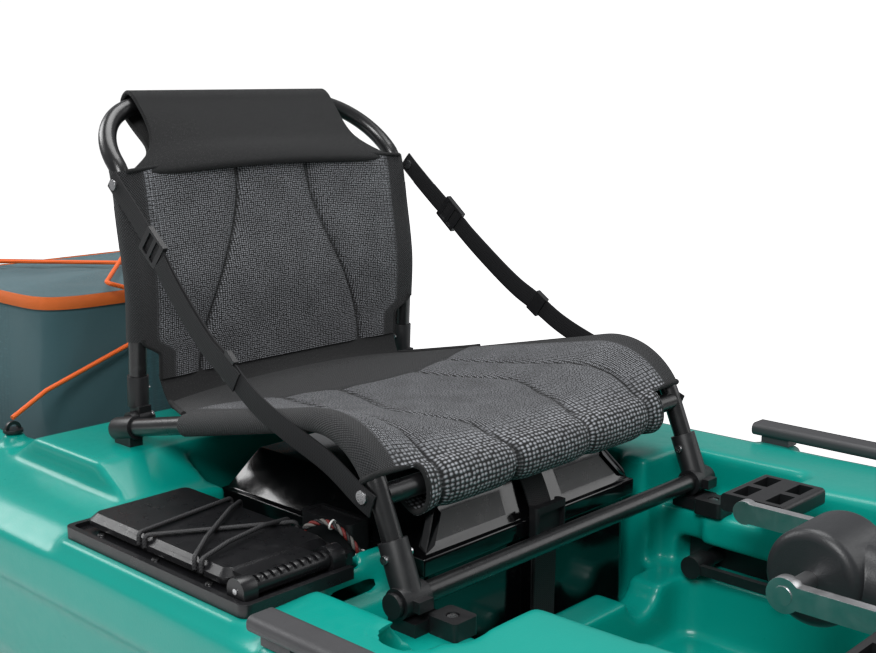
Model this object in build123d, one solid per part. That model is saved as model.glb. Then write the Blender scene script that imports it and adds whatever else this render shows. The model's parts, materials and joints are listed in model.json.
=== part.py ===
"""Sit-on-top pedal boat: framed fabric seat, side hatch, dry box, rear bag, pedal drive and rudder.

Millimetres. +Z is up, the bow points along -Y, the stern along +Y, port is +X and starboard is -X.
The origin is on the flat of the bottom, on the centre line, below the seat.
"""
from build123d import *
import math
import os

# ---------------------------------------------------------------- driving dimensions
# hull stations: (y, half beam, bottom z, gunwale z, deck z)
STATIONS = [
    (-1900, 16, 292, 378, 396),
    (-1790, 98, 132, 384, 410),
    (-1500, 232, 30, 368, 402),
    (-1100, 350, -3, 345, 380),
    (-650, 422, -3, 324, 354),
    (-200, 445, -3, 312, 340),
    (300, 446, -3, 313, 341),
    (800, 420, -3, 322, 350),
    (1200, 340, 22, 334, 356),
    (1400, 236, 78, 342, 358),
    (1450, 168, 110, 345, 358),
]
WALL = 5.0                  # moulded wall of the hull

TUBE_R = 11.1               # seat tube, 22.2 mm
TUBE_WALL = 1.6
RAIL_X = 260.0              # side rail centre line
UPRIGHT_X = 232.0           # back upright centre line
RAIL_REAR = (262.0, 389.0)  # (y, z) of the rail's rear end
RAIL_CORNER = (-171.0, 485.0)
CROSS_LOW = (-242.0, 313.0)  # (y, z) of the lower cross tube
CROSS_UP = (-202.0, 410.0)   # (y, z) of the tube inside the front roll
PIVOT = (256.0, 398.0)      # (y, z) of the back's pivot bolts
BACK_BEND = (278.0, 703.0)
BACK_TOP = (359.0, 782.0)
SHELF_Z = 283.0             # moulded shelf under the front of the seat
REAR_Z = 373.0              # moulded step under the rear clamps
WELL_FLOOR = 150.0          # floor of the box well
FOOT_FLOOR = 130.0          # floor of the footwell
TANK_FLOOR = 232.0          # floor of the rear tankwell
LIP_Z = 205.0               # low wall between the two wells

HATCH_X = (-426.0, -264.0)  # side hatch frame
HATCH_Y = (-195.0, 118.0)
HATCH_SEAT = 330.0
HATCH_AXIS = (-172.0, 349.0)  # (y, z) of the hatch hinge

STRAP_T = 2.0
STRAP_W = 25.0
STRAP_TOP = (262.0, 690.0)    # (y, z) of the strap bolt on the upright
STRAP_BUCKLE = (196.0, 634.0)
STRAP_LOW = (-186.0, 411.0)   # (y, z) of the strap bolt on the rail

DRIVE_AXIS = (-700.0, 330.0)  # (y, z) of the drive's tilt pin
DRIVE_STOW = 80.0             # degrees from straight down to stowed
DRIVE_LEG = 400.0             # pin to propeller centre
DRIVE_HEAD = 150.0            # pin to crank centre
CRANK = 140.0
PROP_R = 90.0
SLOT_X = 55.0                 # half width of the drive well

RUDDER_Y = 1486.0             # rudder yaw axis
RUDDER_KICK = (1522.0, 300.0)  # (y, z) of the blade's kick pin
LEVER = (-278.0, 222.0)       # (y, z) of the steering lever's pivot
LEVER_X = 228.0

BIN = (-394.0, -292.0, -136.0, 92.0)  # x0, x1, y0, y1 of the side hatch bin
EYE_X = 305.0                 # pad eyes beside the tankwell
EYE_Y = (450.0, 900.0)
EYE_Z = 357.0
BAG = (-235.0, 235.0, 472.0, 830.0)   # x0, x1, y0, y1 of the rear bag
BAG_TOP = 512.0

GAP = 0.4                     # fabric to tube


# ---------------------------------------------------------------- helpers
def box(x0, x1, y0, y1, z0, z1):
    """Box from its corner coordinates."""
    centre = ((x0 + x1) / 2, (y0 + y1) / 2, (z0 + z1) / 2)
    return Pos(*centre) * Box(abs(x1 - x0), abs(y1 - y0), abs(z1 - z0))


def rounded_box(x0, x1, y0, y1, z0, z1, r):
    """Box whose vertical edges are rounded."""
    plan = RectangleRounded(x1 - x0, y1 - y0, r)
    return Pos((x0 + x1) / 2, (y0 + y1) / 2, z0) * extrude(plan, z1 - z0)


def rod_x(x0, x1, y, z, r):
    """Round bar along X."""
    return Pos((x0 + x1) / 2, y, z) * Rot(0, 90, 0) * Cylinder(r, abs(x1 - x0))


def rod(a, b, r):
    """Round bar between two points."""
    start, end = Vector(*a), Vector(*b)
    along = end - start
    return Plane(origin=start, z_dir=along) * extrude(Circle(r), along.length)


def pipe(points, radii, r, wall=0.0):
    """Bent tube, or a bent bar when wall is 0."""
    path = FilletPolyline(*points, radius=radii) if radii else Polyline(*points)
    section = Circle(r) - Circle(r - wall) if wall else Circle(r)
    return sweep(Plane(origin=path @ 0, z_dir=path % 0) * section, path=path)


def side_slab(profile, x0, x1):
    """Solid with a closed (y, z) profile, from x0 to x1."""
    face = make_face(Polyline(*[(x0, y, z) for y, z in profile], close=True))
    return extrude(face, amount=x1 - x0, dir=(1, 0, 0))


def group(*shapes):
    """Several solids as one node."""
    return Compound([solid for shape in shapes for solid in shape.solids()])


def both(shape):
    """The shape and its mirror image on the other side."""
    return group(shape, mirror(shape, Plane.YZ))


def turn_x(shape, y, z, angle):
    """The shape turned about an axis along X through (y, z)."""
    return shape.rotate(Axis((0, y, z), (1, 0, 0)), angle)


# ---------------------------------------------------------------- hull
def section(station, inset):
    """One closed cross-section of the hull, inset by a wall."""
    y, beam, bottom, gunwale, deck = station
    b = beam - inset
    low = bottom + inset + (3 if inset else 0)
    rail = gunwale - inset / 2
    top = deck - inset
    side = rail - low
    half = [(0.46 * b, low), (0.83 * b, low + 0.15 * side), (0.94 * b, low + 0.48 * side),
            (0.965 * b, low + 0.78 * side), (b, low + 0.84 * side), (b, rail),
            (0.91 * b, rail + 0.7 * (top - rail)), (0.62 * b, top)]
    outline = half + [(-x, z) for x, z in reversed(half)]
    return make_face(Polyline(*[(x, y, z) for x, z in outline], close=True))


def hull_body(inset=0.0):
    """Lofted hull, without its wells."""
    stations = list(STATIONS)
    if inset:
        bow, stern = stations[1], stations[-1]
        stations[0] = (-1868, 34, 235, 374, 395)
        stations[1] = (-1780, *bow[1:])
        stations[-1] = (stern[0] - inset, *stern[1:])
    return loft([section(s, inset) for s in stations])


def well(x0, x1, y0, y1, floor, top, flare, r, grow=0.0):
    """Drafted recess. flare is how far its four sides (x0, x1, y0, y1) lean out by the top."""
    g = grow
    low = Pos((x0 + x1) / 2, (y0 + y1) / 2, floor - g) * \
        RectangleRounded(x1 - x0 + 2 * g, y1 - y0 + 2 * g, r + g)
    a0, a1, c0, c1 = x0 - flare[0], x1 + flare[1], y0 - flare[2], y1 + flare[3]
    high = Pos((a0 + a1) / 2, (c0 + c1) / 2, top) * \
        RectangleRounded(a1 - a0 + 2 * g, c1 - c0 + 2 * g, r + g)
    return loft([low, high])


def recesses(grow=0.0):
    """Everything moulded into the hull, as solids to cut away."""
    top = 440.0
    g = grow
    cuts = [
        # footwell, its wide rear part and its narrow toe end round the drive
        well(-205, 205, -900, -262, FOOT_FLOOR, top, (46, 46, 10, 0), 30, g),
        well(-150, 150, -1190, -880, FOOT_FLOOR, top, (25, 25, 120, 0), 40, g),
        # well for the dry box, with a wider mouth above the shelf
        well(-202, 202, -212, 188, WELL_FLOOR, top, (20, 20, 0, 12), 14, g),
        box(-233 - g, 233 + g, -275, -205, LIP_Z - g, top),
        well(-232, 225, -150, 110, SHELF_Z, 345, (29, 12, 6, 0), 16, g),
        # shelves under the front of the seat
        well(-300, -180, -352, -178, SHELF_Z, 345, (48, 0, 34, 14), 18, g),
        well(180, 300, -352, -196, SHELF_Z, 345, (20, 0, 34, 4), 18, g),
        # oval dish in the starboard side deck, pocket in the port inner wall
        Pos(-345, -335, 300) * Sphere(46 + g),
        box(200, 282 + g, -420 - g, -231 + g, LIP_Z - g, 244 + g),
        # rear tankwell
        well(-262, 262, 425, 1110, TANK_FLOOR, top, (34, 34, 18, 30), 60, g),
        # side hatch bin and bow hatch bin
        well(BIN[0], BIN[1], BIN[2], BIN[3], 222, top, (2, 2, 2, 2), 14, g),
        Pos(0, -1490, 230 - g) * extrude(Ellipse(98 + g, 118 + g), 240),
        # drive well, right through the bottom
        box(-SLOT_X - g, SLOT_X + g, -1160 - g, -595 + g, -20, top),
        # two channels along the bottom
        *[box(x - 18 - g, x + 18 + g, -820 - g, 880 + g, -20, 10 + g) for x in (-130, 130)],
    ]
    # scupper holes
    for x, y in [(-165, -420), (165, -420), (-215, 480), (215, 480), (-215, 1050), (215, 1050)]:
        cuts.append(Pos(x, y, 150) * Cylinder(13 + g, 400))
    return cuts


def raised_parts(inset=0.0):
    """Pads and steps that stand above the deck."""
    i = inset
    step = [(112 + i, 320), (206 + i, REAR_Z - i), (352 - i, REAR_Z - i), (424 - i, 330),
            (424 - i, 250), (112 + i, 250)]
    parts = [side_slab(step, -330 + i, 330 - i)]
    if not inset:
        parts.append(rounded_box(-434, -258, -203, 127, 296, HATCH_SEAT, 12))
        parts += [rounded_box(s * 434 - 17, s * 434 + 17, y - 26, y + 26, 290, 328, 6)
                  for s in (-1, 1) for y in (-262, -438)]
        parts += [rounded_box(-34, 34, y - 20, y + 20, 330, z, 8)
                  for y, z in ((-1775, 416), (-1685, 416), (1235, 366), (1325, 366))]
        parts += [Pos(x, y, EYE_Z - 18) * Cylinder(15, 36) for x in (-EYE_X, EYE_X) for y in EYE_Y]
        parts.append(Pos(0, -1490, 380) * extrude(Ellipse(132, 152), 34))
    return parts


def lip_notches(grow=0.0):
    """Round notches in the low wall between the two wells."""
    return [Pos(x, -240, LIP_Z + 6) * Rot(90, 0, 0) * Cylinder(r + grow, 80 + 2 * grow)
            for x, r in ((122, 34), (-60, 22))]


def hull():
    """One hollow moulded shell."""
    outer = hull_body() + raised_parts()
    void = hull_body(WALL) + raised_parts(WALL)
    hatch_seat = box(HATCH_X[0] - 3, HATCH_X[1] + 12, HATCH_Y[0] - 3, HATCH_Y[1] + 3, HATCH_SEAT, 440)
    ground = box(-600, 600, -2100, 2100, -60, 0)
    outer = outer - recesses() - hatch_seat - lip_notches() - ground
    void = void - recesses(WALL) - lip_notches(WALL)
    return outer - void


# ---------------------------------------------------------------- side hatch
def side_hatch_frame():
    x0, x1, y0, y1 = *HATCH_X, *HATCH_Y
    plate = rounded_box(x0, x1, y0, y1, HATCH_SEAT, 338, 10)
    rim = rounded_box(x0, x1, y0, y1, 336, 343, 10)
    rim = rim - rounded_box(x0 + 7, x1 - 7, y0 + 7, y1 - 7, 330, 350, 6)
    coaming = rounded_box(BIN[0] - 6, BIN[1] + 6, BIN[2] - 6, BIN[3] + 6, 336, 343.6, 12)
    opening = rounded_box(*BIN, 320, 350, 12)
    step = box(x1 - 26, x1 + 1, y0 - 1, y0 + 30, 320, 350)
    ay, az = HATCH_AXIS
    ear = box(-8.5, 8.5, ay - 13, ay + 13, 337, az) + rod_x(-8.5, 8.5, ay, az, 13)
    ear = ear - rod_x(-9, 9, ay, az, 3.05)
    ears = [Pos(x, 0, 0) * ear for x in (-409.5, -299.5)]
    gland = rod_x(x1 - 1, x1 + 10, *CABLE[0][1:], 6.5)
    return plate + rim - step + coaming - opening + ears + gland


def side_hatch_pins():
    ay, az = HATCH_AXIS
    return group(rod_x(-419, -393, ay, az, 3), rod_x(-316, -290, ay, az, 3))


def side_hatch_lid():
    ay, az = HATCH_AXIS
    low = Pos(-341.5, -21, 344) * RectangleRounded(133, 248, 12)
    mid = Pos(-341.5, -21, 350) * RectangleRounded(133, 248, 12)
    high = Pos(-341.5, -21, 357) * RectangleRounded(119, 234, 8)
    plate = loft([low, mid]) + loft([mid, high])
    bar = rod_x(-400.5, -308.5, ay, az, 9.5)
    bores = [rod_x(-405, -390, ay, az, 3.05), rod_x(-319, -300, ay, az, 3.05)]
    web = box(-397, -312, ay, -140, az - 4, az + 6)
    ribs = [box(x - 1.6, x + 1.6, ay - 11, ay + 4, az + 5, az + 12) for x in range(-396, -310, 9)]
    notches = [Pos(x, y, 350) * Cylinder(3.4, 30) for x, y in bungee_notches()]
    return plate + web + bar - bores - ribs - notches


def bungee_notches():
    """Edge notches of the lid, in the order that the bungee passes them."""
    outer, inner = -408.0, -275.0
    return [(inner, 20), (outer, 1), (outer, -10), (inner, -91),
            (inner, -78), (outer, -106), (outer, -95), (inner, 4)]


def side_hatch_bungee():
    """Elastic that crosses the lid in two X shapes and dips through the notches."""
    z = 359.8
    runs = bungee_notches()
    pieces = []
    for (xa, ya), (xb, yb), lift in zip(runs[0::2], runs[1::2], (0, 0, 5.2, 5.2)):
        start, end = Vector(xa, ya, z), Vector(xb, yb, z)
        along = (end - start).normalized()
        points = [(xa, ya, 347), tuple(start), tuple(start + along * 40 + Vector(0, 0, lift)),
                  tuple(end - along * 40 + Vector(0, 0, lift)), tuple(end), (xb, yb, 347)]
        if lift:
            pieces.append(pipe(points, [5, 20, 20, 5], 2.4))
        else:
            pieces.append(pipe([points[0], points[1], points[4], points[5]], [5, 5], 2.4))
    return group(*pieces)


def side_hatch_screws():
    outer, inner, back = HATCH_X[0] + 16.5, HATCH_X[1] - 14.5, HATCH_Y[1] - 13.5
    places = [(outer, -120), (outer, -30), (outer, 70), (inner, -120), (inner, 40),
              (-385, back), (-305, back)]
    return group(*[Pos(x, y, 339.2) * Cylinder(4, 2.4) for x, y in places])


# ---------------------------------------------------------------- bow hatch
BOW_HINGE = (-1333.0, 424.0)


def bow_hatch_rim():
    y, z = BOW_HINGE
    ring = Pos(0, -1490, 414) * extrude(Ellipse(129, 149) - Ellipse(99, 119), 6)
    foot = box(-46, 46, -1352, y + 12, 414, 417)
    ear = box(-4, 4, y - 8, y + 8, 414, z) + rod_x(-4, 4, y, z, 8)
    ears = [Pos(x, 0, 0) * ear for x in (-40, 40)]
    return ring + foot + ears - rod_x(-60, 60, y, z, 3)


def bow_hatch_pin():
    return rod_x(-47, 47, *BOW_HINGE, 3)


def bow_hatch_lid():
    y, z = BOW_HINGE
    base = Pos(0, -1490, 420.4) * extrude(Ellipse(126, 146), 7)
    dome = Pos(0, -1490, 427) * extrude(Ellipse(112, 130), 6, taper=30)
    arm = box(-34, 34, -1375, y, z - 3, z + 4) + rod_x(-34, 34, y, z, 6.4) - rod_x(-60, 60, y, z, 3.05)
    grip = box(-22, 22, -1644, -1622, 421, 430)
    return base + dome + arm + grip


# ---------------------------------------------------------------- seat frame
def leg_direction():
    dy, dz = RAIL_CORNER[0] - CROSS_LOW[0], RAIL_CORNER[1] - CROSS_LOW[1]
    length = math.hypot(dy, dz)
    return dy / length, dz / length


def leg_point(distance):
    uy, uz = leg_direction()
    return (CROSS_LOW[0] + uy * distance, CROSS_LOW[1] + uz * distance)


def rail(r, wall=0.0):
    """Port side rail and front leg, one bent tube."""
    points = [(RAIL_X, *RAIL_REAR), (RAIL_X, *RAIL_CORNER), (RAIL_X, *leg_point(17))]
    return pipe(points, [90], r, wall)


def seat_front_upper_tube():
    bar = rod_x(-255, 255, *CROSS_UP, TUBE_R)
    return bar - rail(TUBE_R) - mirror(rail(TUBE_R), Plane.YZ)


def seat_front_lower_tube():
    return rod_x(-280, 280, *CROSS_LOW, TUBE_R) - rod_x(-281, 281, *CROSS_LOW, TUBE_R - TUBE_WALL)


def tube_end_caps():
    y, z = CROSS_LOW
    cap = rod_x(280, 285, y, z, TUBE_R + 1.5) + rod_x(268, 281, y, z, TUBE_R - TUBE_WALL)
    return both(cap)


def front_brackets():
    """T fittings that join the legs to the lower cross tube."""
    y, z = CROSS_LOW
    a, b = leg_point(0), leg_point(60)
    body = rod_x(RAIL_X - 18, RAIL_X + 18, y, z, 16) + rod((RAIL_X, *a), (RAIL_X, *b), 15.5)
    lug = Pos(RAIL_X, y - 17, z) * Box(20, 14, 12)
    c = leg_point(17)
    leg = rod((RAIL_X, *c), (RAIL_X, *leg_point(80)), TUBE_R)
    return both(body + lug - rod_x(200, 300, y, z, TUBE_R) - leg)


def bracket_screws():
    y, z = leg_point(44)
    heads = group(rod_x(RAIL_X - 19, RAIL_X - 13, y, z, 4.5), rod_x(RAIL_X + 13, RAIL_X + 19, y, z, 4.5))
    socket = rod((RAIL_X, *leg_point(0)), (RAIL_X, *leg_point(60)), 15.5)
    return both(group(heads - socket))


def rear_clamps():
    """Clamps on the rear ends of the rails, with the boss for the back's pivot."""
    y0, z0 = RAIL_REAR
    dy, dz = RAIL_CORNER[0] - y0, RAIL_CORNER[1] - z0
    n = math.hypot(dy, dz)
    def at(t):
        return (RAIL_X, y0 + dy / n * t, z0 + dz / n * t)
    sleeve = rod(at(-5), at(38), 14.4)
    foot = box(RAIL_X - 9, RAIL_X + 9, 228, 262, REAR_Z, 386)
    boss = rod_x(242, 252, *PIVOT, 11)
    return both(sleeve + foot + boss - rod(at(0), at(60), TUBE_R) - rod_x(240, 248, *PIVOT, 4))


def pivot_bolts():
    y, z = PIVOT
    bolt = rod_x(221, 248, y, z, 4) + rod_x(217, 221.5, y, z, 7)
    return both(bolt)


def mount_blocks():
    block = rounded_box(222, 256, -300, -262, SHELF_Z, 302, 5)
    block = block + box(232, 274, -264, -226, SHELF_Z, 296.8)
    return both(block - Pos(239, -281, 302) * Cylinder(7, 8))


def mount_screws():
    return both(Pos(239, -281, 299.4) * Cylinder(5.5, 2.8))


# ---------------------------------------------------------------- seat back
def back_path():
    x = UPRIGHT_X
    left = [(-x, 263, 416), (-x, 256, 560), (-x, *BACK_BEND), (-x, *BACK_TOP)]
    return left + [(x, y, z) for _, y, z in reversed(left)]


def back_tube(r=TUBE_R, wall=TUBE_WALL):
    """The back's one bent tube."""
    return pipe(back_path(), [300, 40, 98, 98, 40, 300], r, wall)


def back_sockets():
    """Sockets on the ends of the back tube, with a lug for the pivot bolt."""
    y, z = PIVOT
    body = rod((UPRIGHT_X, 263.2, 413), (UPRIGHT_X, 261.4, 452), 13.3)
    lug = rod_x(224, 241.6, y, z, 12.5) + box(224, 241.6, y - 9, y + 12, z, 415)
    return both(body + lug - back_tube(TUBE_R, 0) - rod_x(200, 243, y, z, 4.05))


def socket_screws():
    head = rod_x(UPRIGHT_X - 15.5, UPRIGHT_X - 11, 262.4, 434, 3.6)
    return both(head - rod((UPRIGHT_X, 263.2, 413), (UPRIGHT_X, 261.4, 452), 13.3))


def back_panel():
    """Fabric between and round the uprights."""
    line = [(261, 444), (257, 560), (269, 650), (279, 706)]
    low = [(y - 5, z) for y, z in line] + [(y + 5, z) for y, z in reversed(line)]
    tall = [(253, 497), (251.5, 560), (264, 650), (273, 700),
            (283, 700), (274, 650), (261.5, 560), (262, 497)]
    sleeve_path = [(UPRIGHT_X, 259.5, 497), (UPRIGHT_X, 256.4, 560), (UPRIGHT_X, 276.5, 700)]
    sleeves = both(pipe(sleeve_path, [300], 13.0))
    cloth = side_slab(low, -205, 205) + side_slab(tall, -232, 232) + sleeves.solids()
    return cloth - back_tube(TUBE_R + GAP, 0)


def headrest():
    profile = [(262, 713), (345, 792), (357, 797), (370, 793), (374, 781), (367, 768), (294, 709)]
    return side_slab(profile, -166, 166) - back_tube(TUBE_R + GAP, 0)


def seat_pan():
    """Fabric seat with its front roll, round the rails and the upper cross tube."""
    top = [(236, 424), (123, 434), (0, 461), (-98, 483), (-150, 480), (-190, 458), (-214, 427), (-219, 402),
           (-213, 385), (-198, 377), (-184, 381), (-180, 394)]
    under = [(-186, 414), (-172, 436), (-150, 456), (-98, 458), (0, 436), (123, 408), (236, 400)]
    narrow = side_slab(top + under, -234, 234)
    wide = side_slab(top[1:] + under[:-1], -272, 272)
    tubes = rail(TUBE_R + GAP)
    return narrow + wide - tubes - mirror(tubes, Plane.YZ) - rod_x(-255, 255, *CROSS_UP, TUBE_R + GAP)


# ---------------------------------------------------------------- straps
def plank(a, b, width, thick):
    """Straight piece of webbing between two points, flat side facing along X."""
    start, end = Vector(*a), Vector(*b)
    along = end - start
    plane = Plane(origin=start, x_dir=Vector(1, 0, 0).cross(along).cross(along) * -1, z_dir=along)
    return plane * extrude(Rectangle(thick, width), along.length)


def upper_straps():
    (y0, z0), (y1, z1) = STRAP_TOP, STRAP_BUCKLE
    return both(plank((250, y0 + 8, z0 + 7), (250, y1, z1), STRAP_W, STRAP_T))


def strap_buckles():
    """Ladder-lock buckles: a frame with two cross bars."""
    y, z = STRAP_BUCKLE
    frame = Box(7, 38, 34) - Pos(0, 7, 0) * Box(9, 10, 27) - Pos(0, -8, 0) * Box(9, 8, 27)
    shape = Pos(254.6, y - 14, z - 12) * Rot(40, 0, 0) * frame
    return both(shape)


def lower_strap_route():
    """Corners of the long strap, from the buckle to the bolt on the leg."""
    y, z = STRAP_BUCKLE
    return [(254.6, y - 30, z - 24), (270, 10, 493), (274, -30, 475), (274, -206, 406)]


def lower_straps():
    points = lower_strap_route()
    parts = [plank(a, b, STRAP_W, STRAP_T) for a, b in zip(points, points[1:])]
    return both(parts[0] + parts[1] + parts[2])


def strap_keepers():
    """Slide that holds the doubled webbing together."""
    top, corner = [Vector(*p) for p in lower_strap_route()[:2]]
    a, b = corner + (top - corner) * 0.07, corner + (top - corner) * 0.17
    wide_a, wide_b = corner + (top - corner) * 0.05, corner + (top - corner) * 0.2
    shell = plank(tuple(a), tuple(b), STRAP_W + 6, STRAP_T + 5)
    return both(shell - plank(tuple(wide_a), tuple(wide_b), STRAP_W + 0.6, STRAP_T + 0.6))


def upper_strap_bolts():
    y, z = STRAP_TOP
    return both(rod_x(251, 255, y, z, 6.5) + rod_x(245.6, 249, y, z, 6.5))


def lower_strap_bolts():
    y, z = STRAP_LOW
    return both(rod_x(275, 279, y - 8, z, 7))


# ---------------------------------------------------------------- dry box and power lead
def dry_box():
    shell = rounded_box(-182, 182, -190, 150, WELL_FLOOR + 2, 300, 14)
    inside = rounded_box(-178, 178, -186, 146, WELL_FLOOR + 6, 310, 10)
    gland = rod_x(-188, -180, -130, 258, 8)
    return shell - inside + (gland - inside)


def dry_box_lid():
    rim = rounded_box(-190, 190, -195, 155, 300, 321, 16)
    low = Pos(0, -20, 321) * RectangleRounded(376, 346, 14)
    high = Pos(0, -20, 368) * RectangleRounded(300, 308, 10)
    panel = [box(x0, x1, -197, -160, 328, 352) for x0, x1 in ((-140, -34), (44, 140))]
    solid = rim + loft([low, high])
    inner_low = Pos(0, -20, 300) * RectangleRounded(366, 336, 12)
    inner_high = Pos(0, -20, 362) * RectangleRounded(280, 250, 8)
    return solid - loft([inner_low, inner_high]) - [p - box(-200, 200, -178, -150, 300, 360) for p in panel]


def strap_band(path, x0, x1, t):
    """Flat band that follows a (y, z) path, on its outer side."""
    outer = offset(Polyline(*[(y, z) for y, z in path]), amount=t, side=Side.LEFT, closed=True)
    face = make_face(outer)
    return Plane.YZ.offset(x0) * extrude(face, amount=x1 - x0)


def box_strap():
    path = [(-196, WELL_FLOOR), (-196, 322), (-175, 369), (135, 369), (156, 322), (156, WELL_FLOOR)]
    tail = box(-26, 12, -209, -207, 158, 296)
    return group(strap_band(path, -16, 22, 1.8), tail)


def box_buckle():
    """Cam buckle on the front of the dry box strap."""
    frame = rounded_box(-24, 30, -212, -198, 296, 338, 4)
    return frame - box(-19, 25, -215, -206.6, 304, 330) - box(-18, 24, -203, -197, 290, 340)


def power_box():
    body = rounded_box(-224, -192, -116, -36, SHELF_Z, 347, 6)
    return body - box(-218, -198, -110, -42, 345, 350)


CABLE = [(-254, -72, 338), (-247, -79, 347), (-238, -92, 351), (-233, -112, 346),
         (-227, -128, 330), (-217, -134, 310), (-205, -134, 292), (-197, -132, 274),
         (-188, -130, 258)]


def cable_bundle():
    """Braided lead from the hatch frame down to the dry box."""
    radii = []
    for a, b, c in zip(CABLE, CABLE[1:], CABLE[2:]):
        u, v = Vector(*b) - Vector(*a), Vector(*c) - Vector(*b)
        radii.append(0.45 * min(u.length, v.length) / math.tan(math.radians(u.get_angle(v) / 2)))
    return pipe(CABLE, radii, 4.5)


def cable_ties():
    ties = []
    for i in (2, 4, 6):
        a, b = Vector(*CABLE[i]), Vector(*CABLE[i + 1])
        mid, along = a + (b - a) * 0.5, (b - a).normalized()
        plane = Plane(origin=mid - along * 1.2, z_dir=along)
        ties.append(plane * extrude(Circle(6) - Circle(4.6), 2.4))
    return group(*ties)


# ---------------------------------------------------------------- rear bag
def rear_bag():
    """Soft bag with an empty inside."""
    x0, x1, y0, y1 = BAG
    inside = rounded_box(x0 + 6, x1 - 6, y0 + 6, y1 - 6, TANK_FLOOR + 6, BAG_TOP - 6, 34)
    return rounded_box(*BAG, TANK_FLOOR, BAG_TOP, 40) - inside


def bag_band():
    return rounded_box(BAG[0] - 2, BAG[1] + 2, BAG[2] - 2, BAG[3] + 2, BAG_TOP, BAG_TOP + 12, 42)


def pad_eyes():
    base = Pos(0, 0, EYE_Z + 2) * Cylinder(13, 4)
    loop = Pos(0, 0, EYE_Z + 4) * Rot(90, 0, 0) * (Cylinder(11, 5) - Cylinder(6.5, 6))
    eye = base + (loop - Pos(0, 0, EYE_Z - 20) * Box(40, 40, 44))
    return group(*[Pos(x, y, 0) * eye for x in (-EYE_X, EYE_X) for y in EYE_Y])


def rear_bungees():
    """Two elastics that cross on the front of the bag and on its top."""
    runs = []
    for s, lift in ((-1, 0), (1, 7.5)):
        z = BAG_TOP + 12 + 6 + lift
        front, back = BAG[2] - 2 - 6 - lift, BAG[3] + 2 + 6 + lift
        points = [(s * EYE_X, EYE_Y[0], EYE_Z + 19), (s * 246, front, 400), (-s * 150, front, z),
                  (s * 150, back, z), (s * 262, back, 420), (s * EYE_X, EYE_Y[1], EYE_Z + 19)]
        runs.append(pipe(points, [18, 5, 5, 20], 3.2))
    return group(*runs)


# ---------------------------------------------------------------- handles and steering
def side_handles():
    grip = fillet(box(417, 451, -470, -230, 337, 353).edges().filter_by(Axis.Y), 7)
    feet = [box(423, 445, y - 20, y + 20, 328, 338) for y in (-262, -438)]
    return both(grip + feet)


def end_handles():
    """Carry handles at the bow and the stern."""
    height = 43
    shapes = []
    for y0, y1, z in ((-1775, -1685, 416), (1235, 1325, 366)):
        points = [(0, y0, z), (0, y0, z + height), (0, y1, z + height), (0, y1, z)]
        feet = [box(-20, 20, y - 14, y + 14, z, z + 5) for y in (y0, y1)]
        shapes.append(pipe(points, [16, 16], 9) + feet)
    return group(*shapes)


def drain_plug():
    return Pos(70, 1453, 250) * Rot(90, 0, 0) * Cylinder(15, 6)


def steering_plate():
    y, z = LEVER
    return box(262, 281.9, -416, -236, LIP_Z + 0.1, 243.9) + rod_x(LEVER_X, 264, y, z, 10)


def steering_lever():
    y, z = LEVER
    hub = rod_x(196, LEVER_X - 0.2, y, z, 14)
    arm = box(197, 205, y - 118, y, z - 6, z + 6)
    knob = Pos(196, y - 122, z) * Sphere(11)
    return hub + arm + knob


# ---------------------------------------------------------------- pedal drive
def drive_bracket():
    y, z = DRIVE_AXIS
    ear = box(60, 70, y - 42, y + 42, FOOT_FLOOR, z) + rod_x(60, 70, y, z, 24) - rod_x(50, 80, y, z, 8)
    foot = box(60, 100, y - 42, y + 42, FOOT_FLOOR, FOOT_FLOOR + 8)
    return both(ear + foot)


def drive_pin():
    y, z = DRIVE_AXIS
    return rod_x(-76, 76, y, z, 8)


def drive_housing():
    """Leg, head and gear case, drawn hanging straight down and then turned up to the stowed place."""
    y, z = DRIVE_AXIS
    leg = loft([Pos(0, y, z - 8) * Ellipse(24, 32), Pos(0, y, z - 200) * Ellipse(17, 30),
                Pos(0, y, z - DRIVE_LEG) * Ellipse(15, 34)])
    case = Pos(0, y, z - DRIVE_LEG) * Rot(90, 0, 0) * Cylinder(24, 104)
    case = fillet(case.edges(), 12)
    neck = loft([Pos(0, y, z + 6) * Ellipse(26, 30), Pos(0, y, z + DRIVE_HEAD) * Ellipse(34, 40)])
    head = fillet(rod_x(-42, 42, y, z + DRIVE_HEAD, 48).edges(), 10)
    barrel = rod_x(-58, 58, y, z, 18)
    shape = leg + case + neck + head + barrel
    shape = shape - rod_x(-60, 60, y, z, 8.05) - rod_x(-60, 60, y, z + DRIVE_HEAD, 9.05)
    shape = shape - Pos(0, y + 44, z - DRIVE_LEG) * Rot(90, 0, 0) * Cylinder(5.05, 30)
    return turn_x(shape, y, z, -DRIVE_STOW)


def head_centre():
    a = math.radians(DRIVE_STOW)
    return (DRIVE_AXIS[0] + DRIVE_HEAD * math.sin(a), DRIVE_AXIS[1] + DRIVE_HEAD * math.cos(a))


def crank_set():
    """Shaft and its two opposed crank arms, with the pedal axles."""
    y, z = head_centre()
    shape = rod_x(-93, 93, y, z, 9)
    for s in (-1, 1):
        end = y + s * CRANK
        arm = box(80 * s, 92 * s, min(y, end), max(y, end), z - 11, z + 11)
        shape += arm + rod_x(80 * s, 92 * s, y, z, 17) + rod_x(80 * s, 92 * s, end, z, 13)
        shape += rod_x(88 * s, 196 * s, end, z, 5)
    return shape


def pedal(s):
    y, z = head_centre()
    end = y + s * CRANK
    body = fillet(Box(92, 78, 20).edges().filter_by(Axis.X), 5)
    windows = [Pos(x, w, 0) * Box(34, 18, 30) for x in (-22, 22) for w in (-20, 20)]
    return Pos(s * 144, end, z) * (body - windows) - rod_x(80 * s, 200 * s, end, z, 5.05)


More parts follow.
